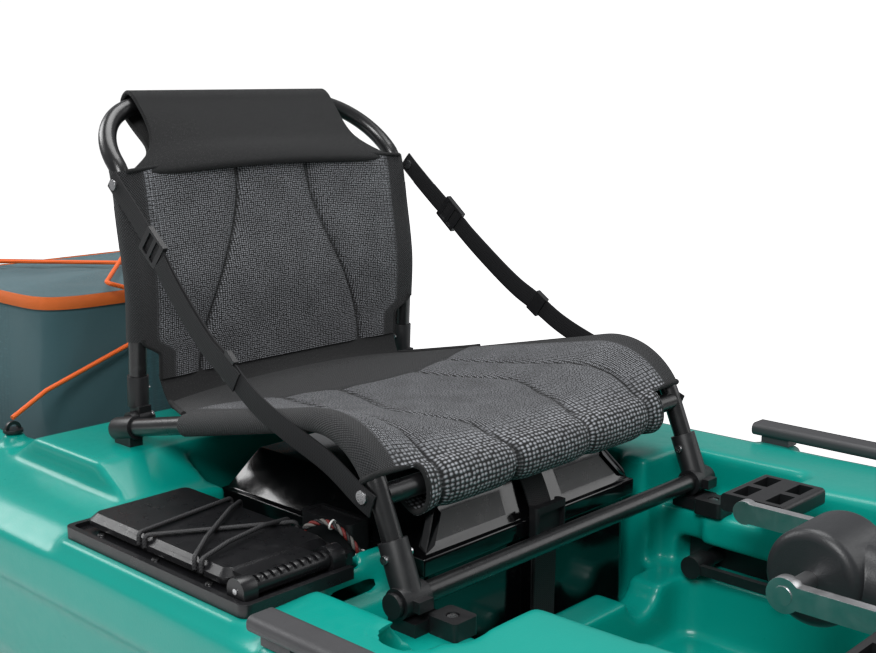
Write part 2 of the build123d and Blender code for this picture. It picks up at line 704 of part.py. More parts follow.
def propeller():
    """Two-bladed propeller on its shaft, drawn behind the straight-down leg and then turned up."""
    y, z = DRIVE_AXIS
    z0 = z - DRIVE_LEG
    shaft = Pos(0, y + 52, z0) * Rot(90, 0, 0) * Cylinder(5, 40)
    hub = Pos(0, y + 67, z0) * Rot(90, 0, 0) * Cylinder(15, 26)
    disc = extrude(Plane.XZ * Ellipse(15, PROP_R / 2 - 4), 3, both=True)
    blade = Pos(0, y + 67, z0 + PROP_R / 2 + 4) * Rot(0, 0, 28) * disc
    other = blade.rotate(Axis((0, y, z0), (0, 1, 0)), 180)
    return turn_x(shaft + hub + blade + other, y, z, -DRIVE_STOW)


# ---------------------------------------------------------------- rudder
def rudder_bracket():
    lugs = [box(-14, 14, 1450, RUDDER_Y, z, z + 10) + Pos(0, RUDDER_Y, z + 5) * Cylinder(14, 10)
            for z in (262, 318)]
    return box(-32, 32, 1450, 1458, 248, 342) + lugs - Pos(0, RUDDER_Y, 300) * Cylinder(6, 120)


def rudder_pintle():
    return Pos(0, RUDDER_Y, 296) * Cylinder(6, 82)


def rudder_head():
    y, z = RUDDER_KICK
    hub = Pos(0, RUDDER_Y, 295) * Cylinder(14, 45.6)
    cheeks = [box(s * 5.6, s * 11.5, RUDDER_Y, y, z - 16, z + 16) + rod_x(s * 5.6, s * 11.5, y, z, 16)
              for s in (-1, 1)]
    shape = hub + cheeks - Pos(0, RUDDER_Y, 300) * Cylinder(6.05, 120) - rod_x(-20, 20, y, z, 4)
    return shape - box(-5.6, 5.6, RUDDER_Y + 14.5, y + 30, 270, 330)


def rudder_kick_pin():
    return rod_x(-14, 14, *RUDDER_KICK, 4)


def rudder_blade():
    y, z = RUDDER_KICK
    outline = [(y, z - 15), (y + 60, z - 15), (y + 92, z - 44), (y + 250, z - 40), (y + 318, z - 8),
               (y + 326, z + 24), (y + 300, z + 46), (y + 92, z + 56), (y + 56, z + 15), (y, z + 15)]
    blade = side_slab(outline, -4, 4) + rod_x(-5.3, 5.3, y, z, 15)
    return blade - rod_x(-20, 20, y, z, 4.05)


# ---------------------------------------------------------------- nodes
NODES = {
    "hull": hull,
    "side_hatch_frame": side_hatch_frame,
    "side_hatch_lid": side_hatch_lid,
    "side_hatch_pins": side_hatch_pins,
    "side_hatch_screws": side_hatch_screws,
    "side_hatch_bungee": side_hatch_bungee,
    "bow_hatch_rim": bow_hatch_rim,
    "bow_hatch_lid": bow_hatch_lid,
    "bow_hatch_pin": bow_hatch_pin,
    "mount_blocks": mount_blocks,
    "mount_screws": mount_screws,
    "seat_rail_left": lambda: rail(TUBE_R, TUBE_WALL),
    "seat_rail_right": lambda: mirror(rail(TUBE_R, TUBE_WALL), Plane.YZ),
    "seat_front_upper_tube": seat_front_upper_tube,
    "seat_front_lower_tube": seat_front_lower_tube,
    "tube_end_caps": tube_end_caps,
    "front_brackets": front_brackets,
    "bracket_screws": bracket_screws,
    "rear_clamps": rear_clamps,
    "pivot_bolts": pivot_bolts,
    "seat_pan": seat_pan,
    "back_tube": back_tube,
    "back_sockets": back_sockets,
    "socket_screws": socket_screws,
    "back_panel": back_panel,
    "headrest": headrest,
    "upper_straps": upper_straps,
    "strap_buckles": strap_buckles,
    "lower_straps": lower_straps,
    "strap_keepers": strap_keepers,
    "upper_strap_bolts": upper_strap_bolts,
    "lower_strap_bolts": lower_strap_bolts,
    "dry_box": dry_box,
    "dry_box_lid": dry_box_lid,
    "box_strap": box_strap,
    "box_buckle": box_buckle,
    "power_box": power_box,
    "cable_bundle": cable_bundle,
    "cable_ties": cable_ties,
    "rear_bag": rear_bag,
    "bag_band": bag_band,
    "rear_bungees": rear_bungees,
    "pad_eyes": pad_eyes,
    "side_handles": side_handles,
    "end_handles": end_handles,
    "drain_plug": drain_plug,
    "steering_plate": steering_plate,
    "steering_lever": steering_lever,
    "drive_bracket": drive_bracket,
    "drive_pin": drive_pin,
    "drive_housing": drive_housing,
    "crank_set": crank_set,
    "pedal_left": lambda: pedal(1),
    "pedal_right": lambda: pedal(-1),
    "propeller": propeller,
    "rudder_bracket": rudder_bracket,
    "rudder_pintle": rudder_pintle,
    "rudder_head": rudder_head,
    "rudder_kick_pin": rudder_kick_pin,
    "rudder_blade": rudder_blade,
}


def main():
    os.makedirs("parts", exist_ok=True)
    for name, build in NODES.items():
        export_step(build(), f"parts/{name}.step")


if __name__ == "__main__":
    main()
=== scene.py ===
"""Visual model of a sit-on-top pedal boat with a framed fabric seat, laid out as a Blender add-on.

Metres. +Z is up, the bow points along -Y, port is +X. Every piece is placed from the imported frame.
"""
import json
import math

import bmesh
import bpy
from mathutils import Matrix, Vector, noise
from mathutils.bvhtree import BVHTree

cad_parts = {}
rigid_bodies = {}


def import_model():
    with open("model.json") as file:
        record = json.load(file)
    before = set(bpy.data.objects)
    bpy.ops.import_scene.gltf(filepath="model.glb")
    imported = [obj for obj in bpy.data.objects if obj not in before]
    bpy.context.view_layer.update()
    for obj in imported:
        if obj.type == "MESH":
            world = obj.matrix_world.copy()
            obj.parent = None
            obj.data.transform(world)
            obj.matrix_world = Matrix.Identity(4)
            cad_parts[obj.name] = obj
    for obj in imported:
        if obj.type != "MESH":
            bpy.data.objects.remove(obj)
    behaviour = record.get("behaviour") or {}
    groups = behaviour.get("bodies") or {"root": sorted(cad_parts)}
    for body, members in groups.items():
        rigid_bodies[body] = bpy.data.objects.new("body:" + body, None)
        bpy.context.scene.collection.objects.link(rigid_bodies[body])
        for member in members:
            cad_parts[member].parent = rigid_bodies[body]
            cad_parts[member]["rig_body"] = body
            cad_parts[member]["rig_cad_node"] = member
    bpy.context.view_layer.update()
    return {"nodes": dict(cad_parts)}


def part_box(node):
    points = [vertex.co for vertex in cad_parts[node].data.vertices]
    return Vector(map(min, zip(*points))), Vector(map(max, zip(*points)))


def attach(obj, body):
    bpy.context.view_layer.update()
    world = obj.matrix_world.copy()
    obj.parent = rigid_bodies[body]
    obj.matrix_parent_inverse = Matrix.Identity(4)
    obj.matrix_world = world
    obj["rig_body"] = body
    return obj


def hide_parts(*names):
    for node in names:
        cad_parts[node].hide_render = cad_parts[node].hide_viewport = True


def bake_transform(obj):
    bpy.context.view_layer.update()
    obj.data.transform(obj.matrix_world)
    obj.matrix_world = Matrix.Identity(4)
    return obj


bl_info = {
    "name": "Pedal boat",
    "version": (1, 0, 0),
    "blender": (4, 5, 0),
    "location": "View3D > Sidebar > Pedal boat",
    "description": "Pedal boat with a framed fabric seat, hatches, dry box, bag, drive and rudder",
    "category": "Add Mesh",
}

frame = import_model()
MM = 0.001

# ---------------------------------------------------------------- driving sizes, as in the CAD model
TUBE_R = 11.1 * MM
SLEEVE_R = 13.4 * MM                 # cloth round a tube
RAIL_X = 260 * MM
RAIL_REAR = Vector((0, 262, 389)) * MM
RAIL_CORNER = Vector((0, -171, 485)) * MM
LEG_FOOT = Vector((0, -242, 313)) * MM
RAIL_BEND = 90 * MM
UPRIGHT_X = 232 * MM
PAN_REAR_Y = 236 * MM
PAN_SLEEVE_Y = 123 * MM
PAN_MID_Z = 437 * MM
ROLL_CENTRE = Vector((0, -197, 402)) * MM
ROLL_R = 23 * MM
ROLL_HALF = 208 * MM
PAN_LEG_ANGLE = math.radians(149)    # where the sleeve stops on the rail's bend
PANEL_LOW_Z = 444 * MM
PANEL_SLEEVE_Z = 497 * MM
PANEL_TOP_Z = 705 * MM
UPRIGHT_LINE = ((440, 262), (497, 259.5), (560, 257.6), (640, 268.5), (703, 278.8), (720, 290))  # (z, y)
INNER_SEAM = ((-220, 62), (-137, 80), (-66, 105), (26, 75), (120, 60))                           # (y, x)
OUTER_SEAM = ((-220, 186), (-118, 182), (0, 160), (100, 140))                                    # (y, x)


# ---------------------------------------------------------------- user settings
def colour_prop(name, text, value):
    return bpy.props.FloatVectorProperty(name=name, description=text, subtype="COLOR", size=3,
                                         min=0, max=1, default=value)


def length_prop(name, text, value):
    return bpy.props.FloatProperty(name=name, description=text, subtype="DISTANCE", unit="LENGTH",
                                   min=0, default=value)


class BoatColours(bpy.types.PropertyGroup):
    hull: colour_prop("Hull", "Moulded hull colour", (0.0, 0.27, 0.22))
    plastic: colour_prop("Fittings", "Black moulded fittings", (0.007, 0.007, 0.008))
    cloth: colour_prop("Seat cloth", "Seat mesh yarn", (0.017, 0.0175, 0.019))
    headrest: colour_prop("Headrest", "Headrest weave", (0.0135, 0.0138, 0.0145))
    webbing: colour_prop("Webbing", "Strap webbing", (0.005, 0.005, 0.0055))
    accent: colour_prop("Accent", "Orange bungee and bag band", (0.86, 0.13, 0.012))
    bag: colour_prop("Bag", "Rear bag cloth", (0.035, 0.095, 0.112))
    handle: colour_prop("Handle", "Grey carry handles", (0.040, 0.040, 0.043))
    alloy: colour_prop("Alloy", "Cranks and screws", (0.62, 0.62, 0.63))


class BoatSizes(bpy.types.PropertyGroup):
    skin: length_prop("Hull voxel", "Grid that rounds the moulded hull", 0.0062)
    cloth: length_prop("Cloth", "Thickness of the seat cloth", 0.0032)
    webbing: length_prop("Webbing", "Thickness of the straps", 0.0019)
    strap: length_prop("Strap", "Width of the back straps", 0.025)
    seam: length_prop("Seam", "Depth of the sewn channels", 0.0042)
    piping: length_prop("Binding", "Radius of the sewn edge binding", 0.0032)


# ---------------------------------------------------------------- modelling helpers
def deselect():
    bpy.ops.object.select_all(action="DESELECT")


def only(obj):
    deselect()
    obj.select_set(True)
    bpy.context.view_layer.objects.active = obj


def finish_with(obj, kind, **settings):
    """Adds a modifier and applies it."""
    only(obj)
    modifier = obj.modifiers.new(kind.title(), kind)
    for key, value in settings.items():
        setattr(modifier, key, value)
    bpy.ops.object.modifier_apply(modifier=modifier.name)


def edit(obj, *steps):
    """Runs edit mode steps on all of the mesh."""
    only(obj)
    bpy.ops.object.mode_set(mode="EDIT")
    bpy.ops.mesh.select_all(action="SELECT")
    for step in steps:
        step()
    bpy.ops.object.mode_set(mode="OBJECT")


def outwards():
    bpy.ops.mesh.normals_make_consistent(inside=False)


def merge():
    bpy.ops.mesh.remove_doubles(threshold=0.00005)


def smooth(obj, angle=40):
    only(obj)
    bpy.ops.object.shade_smooth_by_angle(angle=math.radians(angle), keep_sharp_edges=False)


def paint(obj, material):
    obj.data.materials.clear()
    obj.data.materials.append(material)


def ease(t):
    t = min(max(t, 0.0), 1.0)
    return t * t * (3 - 2 * t)


def curve_through(table, at):
    """Smooth value through (position, value) pairs in order of position."""
    if at <= table[0][0]:
        return table[0][1]
    if at >= table[-1][0]:
        return table[-1][1]
    i = max(k for k in range(len(table) - 1) if table[k][0] <= at)
    (xa, ya), (xb, yb) = table[i], table[i + 1]
    before = table[i - 1] if i else (2 * xa - xb, 2 * ya - yb)
    after = table[i + 2] if i + 2 < len(table) else (2 * xb - xa, 2 * yb - ya)
    ma = (yb - before[1]) / (xb - before[0]) * (xb - xa)
    mb = (after[1] - ya) / (after[0] - xa) * (xb - xa)
    t = (at - xa) / (xb - xa)
    return ((2 * t ** 3 - 3 * t ** 2 + 1) * ya + (t ** 3 - 2 * t ** 2 + t) * ma
            + (3 * t ** 2 - 2 * t ** 3) * yb + (t ** 3 - t ** 2) * mb)


def cloth_grid(name, columns, rows, place, keep=None, masks=()):
    """Grid put at place(u, v), which gives a point and a UV in metres. keep(u, v) tells which faces stay."""
    deselect()
    bpy.ops.mesh.primitive_grid_add(x_subdivisions=columns, y_subdivisions=rows, size=1)
    obj = bpy.context.object
    obj.name = name
    mesh = obj.data
    plan = [(v.co.x + 0.5, v.co.y + 0.5) for v in mesh.vertices]
    placed = [place(u, v) for u, v in plan]
    layer = mesh.uv_layers.active or mesh.uv_layers.new(name="UVMap")
    for loop in mesh.loops:
        layer.uv[loop.index].vector = placed[loop.vertex_index][1]
    for mask, value in masks:
        attribute = mesh.attributes.new(mask, "FLOAT", "POINT")
        attribute.data.foreach_set("value", [value(u, v) for u, v in plan])
    for vertex, (point, _) in zip(mesh.vertices, placed):
        vertex.co = point
    if keep:
        only(obj)
        bpy.ops.object.mode_set(mode="EDIT")
        bpy.ops.mesh.select_mode(type="FACE")
        bpy.ops.mesh.select_all(action="DESELECT")
        bpy.ops.object.mode_set(mode="OBJECT")
        for face in mesh.polygons:
            middle = [sum(plan[i][k] for i in face.vertices) / len(face.vertices) for k in (0, 1)]
            face.select = not keep(*middle)
        bpy.ops.object.mode_set(mode="EDIT")
        bpy.ops.mesh.delete(type="FACE")
        bpy.ops.mesh.select_mode(type="VERT")
        bpy.ops.object.mode_set(mode="OBJECT")
    return obj


def thicken(obj, thickness, offset=-1.0):
    finish_with(obj, "SOLIDIFY", thickness=thickness, offset=offset, use_even_offset=True)
    edit(obj, outwards)
    smooth(obj, 50)


def nurbs(points):
    """Curve data of one smooth open spline with these control points."""
    data = bpy.data.curves.new("route", "CURVE")
    data.dimensions = "3D"
    data.resolution_u = 12
    spline = data.splines.new("NURBS")
    spline.points.add(len(points) - 1)
    for target, point in zip(spline.points, points):
        target.co = (*point, 1)
    spline.order_u = 3
    spline.use_endpoint_u = True
    return data


def route(points):
    """Points along the smooth curve, in order."""
    data = nurbs(points)
    obj = bpy.data.objects.new("route", data)
    mesh = bpy.data.meshes.new_from_object(obj)
    line = [v.co.copy() for v in mesh.vertices]
    bpy.data.objects.remove(obj)
    bpy.data.curves.remove(data)
    bpy.data.meshes.remove(mesh)
    return line


def round_line(name, points, radius, resolution=5):
    """Round cord or binding along a smooth curve, as a closed mesh."""
    data = nurbs(points)
    data.bevel_depth = radius
    data.bevel_resolution = resolution
    data.use_fill_caps = True
    obj = bpy.data.objects.new(name, data)
    bpy.context.scene.collection.objects.link(obj)
    only(obj)
    bpy.ops.object.convert(target="MESH")
    obj = bpy.context.object
    edit(obj, merge, outwards)
    smooth(obj, 60)
    return obj


def spaced(line, step):
    """The line again, with points at even steps."""
    total = [0.0]
    for a, b in zip(line, line[1:]):
        total.append(total[-1] + (b - a).length)
    count = max(2, round(total[-1] / step))
    found, k = [], 0
    for n in range(count + 1):
        at = total[-1] * n / count
        while k < len(line) - 2 and total[k + 1] < at:
            k += 1
        span = total[k + 1] - total[k] or 1.0
        found.append((line[k].lerp(line[k + 1], (at - total[k]) / span), at))
    return found


def ribbon(name, points, width, thickness, across):
    """Flat webbing along a smooth curve. across(point, along) gives the direction of its width."""
    line = spaced(route(points), 0.004)
    rows = len(line) - 1

    def place(u, v):
        k = min(round(v * rows), rows)
        point, at = line[k]
        along = (line[min(k + 1, rows)][0] - line[max(k - 1, 0)][0]).normalized()
        side = across(point, along)
        normal = along.cross(side).normalized()
        edge = (u - 0.5) * width
        crown = (1 - (2 * u - 1) ** 4) * thickness * 0.25
        return point + side * edge + normal * crown, (edge, at)

    obj = cloth_grid(name, 6, rows, place)
    thicken(obj, thickness, 0.0)
    return obj


def flat_to_x(point, along):
    """Width direction of a strap whose flat side faces port and starboard."""
    return along.cross(Vector((1, 0, 0))).normalized()


def flat_up(point, along):
    return Vector((1, 0, 0))


def mirrored(points):
    return [Vector((-p[0], p[1], p[2])) for p in points]


def mm(*points):
    return [Vector(p) * MM for p in points]


# ---------------------------------------------------------------- shader groups
def new_group(name, inputs, outputs):
    tree = bpy.data.node_groups.new(name, "ShaderNodeTree")
    for label, kind, value in inputs:
        socket = tree.interface.new_socket(label, in_out="INPUT", socket_type="NodeSocket" + kind)
        if value is not None:
            socket.default_value = value
    for label, kind in outputs:
        tree.interface.new_socket(label, in_out="OUTPUT", socket_type="NodeSocket" + kind)
    return tree, tree.nodes.new("NodeGroupInput"), tree.nodes.new("NodeGroupOutput")


def put(tree, kind, links=None, **settings):
    """Adds a node. links maps an input's name or number to a value or to another node's output."""
    node = tree.nodes.new("ShaderNode" + kind)
    for key, value in settings.items():
        setattr(node, key, value)
    for key, value in (links or {}).items():
        if isinstance(value, bpy.types.NodeSocket):
            tree.links.new(value, node.inputs[key])
        else:
            node.inputs[key].default_value = value
    return node


def maths(tree, operation, *values):
    return put(tree, "Math", dict(enumerate(values)), operation=operation).outputs[0]


def blend_colours(tree, factor, a, b):
    node = put(tree, "Mix", {0: factor, 6: a, 7: b}, data_type="RGBA")
    return node.outputs[2]


def cloudy(tree, vector, scale, **settings):
    """Value of a noise texture."""
    return put(tree, "TexNoise", {"Vector": vector, "Scale": scale, **settings}).outputs["Fac"]


def moulded_group():
    """Uneven tone, scuffs and fine grain of a moulded or painted surface."""
    tree, source, target = new_group(
        "moulded_surface",
        (("Vector", "Vector", None), ("Colour", "Color", (0.5, 0.5, 0.5, 1)), ("Tone", "Float", 0.1),
         ("Gloss", "Float", 0.35), ("Grain", "Float", 900.0), ("Depth", "Float", 0.05)),
        (("Colour", "Color"), ("Roughness", "Float"), ("Normal", "Vector")))
    vector = source.outputs["Vector"]
    cloud = cloudy(tree, vector, 9.0, Detail=5.0)
    scuff = cloudy(tree, vector, 62.0, Detail=6.0, Roughness=0.7)
    grain = cloudy(tree, vector, source.outputs["Grain"], Detail=2.0)
    shade = maths(tree, "MULTIPLY", maths(tree, "SUBTRACT", cloud, 0.5), source.outputs["Tone"])
    value = maths(tree, "ADD", 1.0, maths(tree, "MULTIPLY", shade, 2.0))
    colour = put(tree, "HueSaturation", {"Value": value, "Color": source.outputs["Colour"]}).outputs[0]
    fleck = put(tree, "MapRange", {0: scuff, 1: 0.62, 2: 0.78, 3: 0.0, 4: 0.10}).outputs[0]
    share = maths(tree, "MULTIPLY", fleck, source.outputs["Tone"])
    worn = blend_colours(tree, share, colour, (0.8, 0.8, 0.8, 1))
    uneven = maths(tree, "MULTIPLY", maths(tree, "SUBTRACT", scuff, 0.5), 0.28)
    rough = maths(tree, "ADD", source.outputs["Gloss"], uneven)
    height = maths(tree, "ADD", grain, maths(tree, "MULTIPLY", scuff, 0.35))
    bump = put(tree, "Bump", {"Strength": source.outputs["Depth"], "Distance": 0.0006, "Height": height})
    tree.links.new(worn, target.inputs["Colour"])
    tree.links.new(rough, target.inputs["Roughness"])
    tree.links.new(bump.outputs[0], target.inputs["Normal"])
    return tree


def woven_group():
    """Plain weave on a UV map in metres, with lighter flecks and painted shade in the gaps between yarns."""
    tree, source, target = new_group(
        "woven_cloth",
        (("Vector", "Vector", None), ("Pitch", "Float", 0.003), ("Yarn", "Color", (0.1, 0.1, 0.1, 1)),
         ("Gap_shade", "Color", (0.01, 0.01, 0.01, 1)), ("Fleck", "Color", (0.3, 0.3, 0.3, 1)),
         ("Flecks", "Float", 0.3)),
        (("Colour", "Color"), ("Height", "Float")))
    turns = maths(tree, "DIVIDE", math.tau, source.outputs["Pitch"])
    wobble = cloudy(tree, source.outputs["Vector"], 210.0)
    parts = put(tree, "SeparateXYZ", {0: source.outputs["Vector"]})
    waves = []
    for axis in (0, 1):
        phase = maths(tree, "MULTIPLY", parts.outputs[axis], turns)
        waves.append(maths(tree, "SINE", maths(tree, "ADD", phase, maths(tree, "MULTIPLY", wobble, 1.6))))
    crossed = maths(tree, "MULTIPLY", waves[0], waves[1])
    height = maths(tree, "ADD", maths(tree, "MULTIPLY", crossed, 0.5), 0.5)
    speck = cloudy(tree, source.outputs["Vector"], 620.0, Detail=3.0)
    light = put(tree, "MapRange", {0: speck, 1: 0.54, 2: 0.70, 3: 0.0, 4: 1.0}).outputs[0]
    # low parts of the weave take the gap colour: painted shade between the yarns
    yarn = blend_colours(tree, height, source.outputs["Gap_shade"], source.outputs["Yarn"])
    amount = maths(tree, "MULTIPLY", maths(tree, "MULTIPLY", light, height), source.outputs["Flecks"])
    tree.links.new(blend_colours(tree, amount, yarn, source.outputs["Fleck"]), target.inputs["Colour"])
    tree.links.new(maths(tree, "ADD", height, maths(tree, "MULTIPLY", speck, 0.4)), target.inputs["Height"])
    return tree


def ribbed_group():
    """Cross ribs of webbing or the plait of an elastic."""
    tree, source, target = new_group(
        "ribbed_weave",
        (("Across", "Float", 0.0), ("Along", "Float", 0.0), ("Pitch", "Float", 0.0022),
         ("Dark", "Color", (0.01, 0.01, 0.01, 1)), ("Light", "Color", (0.04, 0.04, 0.04, 1))),
        (("Colour", "Color"), ("Height", "Float")))
    turns = maths(tree, "DIVIDE", math.tau, source.outputs["Pitch"])
    skew = maths(tree, "ADD", source.outputs["Along"], source.outputs["Across"])
    other = maths(tree, "SUBTRACT", source.outputs["Along"], source.outputs["Across"])
    one = maths(tree, "SINE", maths(tree, "MULTIPLY", skew, turns))
    two = maths(tree, "SINE", maths(tree, "MULTIPLY", other, turns))
    height = maths(tree, "ADD", maths(tree, "MULTIPLY", maths(tree, "MAXIMUM", one, two), 0.5), 0.5)
    tree.links.new(blend_colours(tree, height, source.outputs["Dark"], source.outputs["Light"]),
                   target.inputs["Colour"])
    tree.links.new(height, target.inputs["Height"])
    return tree


def blank(name, **surface):
    """Material with a Principled shader whose plain values are set on its own sockets."""
    material = bpy.data.materials.new("boat_" + name)
    material.use_nodes = True
    tree = material.node_tree
    shader = tree.nodes["Principled BSDF"]
    for key, value in surface.items():
        shader.inputs[key.replace("_", " ")].default_value = value
    return material, tree, shader


def use_group(tree, name, links):
    node = tree.nodes.new("ShaderNodeGroup")
    node.node_tree = bpy.data.node_groups[name]
    for key, value in links.items():
        if isinstance(value, bpy.types.NodeSocket):
            tree.links.new(value, node.inputs[key])
        else:
            node.inputs[key].default_value = value
    return node


def moulded(name, colour, gloss, tone=0.12, grain=900.0, depth=0.12, **surface):
    material, tree, shader = blank(name, **surface)
    place = put(tree, "TexCoord")
    group = use_group(tree, "moulded_surface", {
        "Vector": place.outputs["Object"], "Colour": (*colour, 1), "Tone": tone, "Gloss": gloss,
        "Grain": grain, "Depth": depth})
    tree.links.new(group.outputs["Colour"], shader.inputs["Base Color"])
    tree.links.new(group.outputs["Roughness"], shader.inputs["Roughness"])
    tree.links.new(group.outputs["Normal"], shader.inputs["Normal"])
    return material


def lighter(colour, factor, add=0.0):
    return tuple(min(c * factor + add, 1.0) for c in colour) + (1.0,)


def woven(name, colour, pitch, flecks, depth, coarse=False, **surface):
    """Cloth on a UV map. Coarse cloth has specks, larger by its roll mask and none by its plain mask, and
    painted shade by its seam mask.
    """
    material, tree, shader = blank(name, **surface)
    uv = put(tree, "UVMap").outputs[0]
    # the gap colour, a third as bright as the cloth, is painted shade between the yarns
    weave = use_group(tree, "woven_cloth", {
        "Vector": uv, "Pitch": pitch, "Yarn": lighter(colour, 1.5), "Gap_shade": lighter(colour, 0.35),
        "Fleck": lighter(colour, 3.2, 0.05), "Flecks": flecks})
    colour_out, height = weave.outputs["Colour"], weave.outputs["Height"]
    if coarse:
        masks = {}
        for mask in ("roll", "plain", "seam"):
            masks[mask] = put(tree, "Attribute", attribute_name=mask).outputs["Fac"]
        stretched = put(tree, "VectorMath", {0: uv, 1: (1.0, 1.35, 1.0)}, operation="MULTIPLY").outputs[0]
        specks = []
        for size in (300.0, 160.0):
            cells = put(tree, "TexVoronoi", {"Vector": stretched, "Scale": size, "Randomness": 0.28},
                        voronoi_dimensions="2D")
            specks.append(put(tree, "MapRange", {0: cells.outputs["Distance"], 1: 0.17, 2: 0.48, 3: 1.0,
                                                 4: 0.0}).outputs[0])
        speck = put(tree, "Mix", {0: masks["roll"], 2: specks[0], 3: specks[1]}).outputs[0]
        cloud = cloudy(tree, uv, 26.0, Detail=4.0)
        bright = put(tree, "MapRange", {0: cloud, 1: 0.3, 2: 0.7, 3: 0.65, 4: 1.0}).outputs[0]
        amount = maths(tree, "MULTIPLY", speck, bright)
        mesh_colour = blend_colours(tree, amount, lighter(colour, 0.16), lighter(colour, 17.0, 0.06))
        colour_out = blend_colours(tree, masks["plain"], mesh_colour, colour_out)
        # the seam mask darkens the cloth nearly to black along the sewn grooves: painted shade
        colour_out = blend_colours(tree, masks["seam"], colour_out, lighter(colour, 0.12))
        height = put(tree, "Mix", {0: masks["plain"], 2: speck, 3: height}).outputs[0]
    bump = put(tree, "Bump", {"Strength": depth, "Distance": 0.0016, "Height": height})
    tree.links.new(colour_out, shader.inputs["Base Color"])
    tree.links.new(bump.outputs[0], shader.inputs["Normal"])
    return material


def ribbed(name, dark, light, pitch, uv_based=True, skew=0.0, depth=0.5, **surface):
    material, tree, shader = blank(name, **surface)
    where = put(tree, "UVMap").outputs[0] if uv_based else put(tree, "TexCoord").outputs["Object"]
    parts = put(tree, "SeparateXYZ", {0: where})
    across = maths(tree, "MULTIPLY", parts.outputs[0], skew)
    along = parts.outputs[1]
    if not uv_based:
        along = maths(tree, "ADD", maths(tree, "MULTIPLY", parts.outputs[1], 0.8), parts.outputs[2])
    group = use_group(tree, "ribbed_weave", {"Across": across, "Along": along, "Pitch": pitch,
                                             "Dark": dark, "Light": light})
    bump = put(tree, "Bump", {"Strength": depth, "Distance": 0.0006, "Height": group.outputs["Height"]})
    tree.links.new(group.outputs["Colour"], shader.inputs["Base Color"])
    tree.links.new(bump.outputs[0], shader.inputs["Normal"])
    return material


def made(name):
    return bpy.data.materials["boat_" + name]


class BOAT_OT_finishes(bpy.types.Operator):
    """Makes every material of the boat"""
    bl_idname = "boat.finishes"
    bl_label = "Finishes"

    def execute(self, context):
        c = context.scene.boat_colours
        moulded_group()
        woven_group()
        ribbed_group()
        moulded("hull_plastic", tuple(c.hull), 0.33, 0.05, 420.0, 0.2, Specular_IOR_Level=0.32,
                Coat_Weight=0.16, Coat_Roughness=0.12)
        moulded("hatch_plastic", tuple(c.plastic), 0.30, 0.3, 1500.0, 0.14)
        moulded("fitting_plastic", tuple(c.plastic), 0.42, 0.3, 1300.0, 0.2)
        moulded("box_gloss", (0.003, 0.003, 0.0035), 0.13, 0.3, 260.0, 0.05, Coat_Weight=0.3,
                Coat_Roughness=0.08)
        moulded("box_panel", (0.010, 0.010, 0.011), 0.30, 0.3, 900.0, 0.15)
        moulded("tube_black", (0.006, 0.006, 0.0065), 0.30, 0.3, 2400.0, 0.06, Coat_Weight=0.2,
                Coat_Roughness=0.2)
        moulded("screw_steel", (0.55, 0.55, 0.56), 0.26, 0.2, 1800.0, 0.1, Metallic=1.0)
        moulded("crank_alloy", tuple(c.alloy), 0.33, 0.15, 1100.0, 0.12, Metallic=1.0)
        moulded("drive_casting", (0.020, 0.021, 0.023), 0.40, 0.25, 700.0, 0.3)
        moulded("propeller_plastic", (0.014, 0.014, 0.016), 0.35, 0.25, 900.0, 0.1)
        moulded("rudder_plastic", (0.018, 0.018, 0.020), 0.42, 0.25, 800.0, 0.2)
        moulded("handle_grey", tuple(c.handle), 0.52, 0.14, 1000.0, 0.35)
        moulded("tie_white", (0.78, 0.78, 0.76), 0.40, 0.06, 900.0, 0.08)
        moulded("strand_red", (0.16, 0.014, 0.012), 0.55, 0.2, 2600.0, 0.6)
        moulded("strand_white", (0.16, 0.15, 0.14), 0.6, 0.1, 2600.0, 0.6)
        moulded("strand_black", (0.012, 0.012, 0.013), 0.5, 0.3, 2600.0, 0.6)
        woven("mesh_fabric", tuple(c.cloth), 0.0034, 0.55, 0.95, coarse=True, Roughness=0.85,
              Sheen_Weight=0.04, Sheen_Roughness=0.5)
        woven("headrest_fabric", tuple(c.headrest), 0.0016, 0.45, 0.6, Roughness=0.9,
              Specular_IOR_Level=0.3, Sheen_Weight=0.04, Sheen_Roughness=0.5)
        woven("bag_cloth", tuple(c.bag), 0.0021, 0.35, 0.5, Roughness=0.7, Sheen_Weight=0.1)
        woven("bag_orange", tuple(c.accent), 0.0021, 0.15, 0.4, Roughness=0.62)
        dark = lighter(tuple(c.webbing), 0.5)
        ribbed("webbing", dark, lighter(tuple(c.webbing), 2.6), 0.0026, skew=0.35, Roughness=0.7,
               Specular_IOR_Level=0.3)
        ribbed("bungee_dark", dark, (0.030, 0.030, 0.032, 1), 0.0034, uv_based=False, skew=0.9, Roughness=0.6)
        ribbed("bungee_orange", lighter(tuple(c.accent), 0.45), lighter(tuple(c.accent), 1.05), 0.0042,
               uv_based=False, skew=0.9, Roughness=0.6)
        return {"FINISHED"}


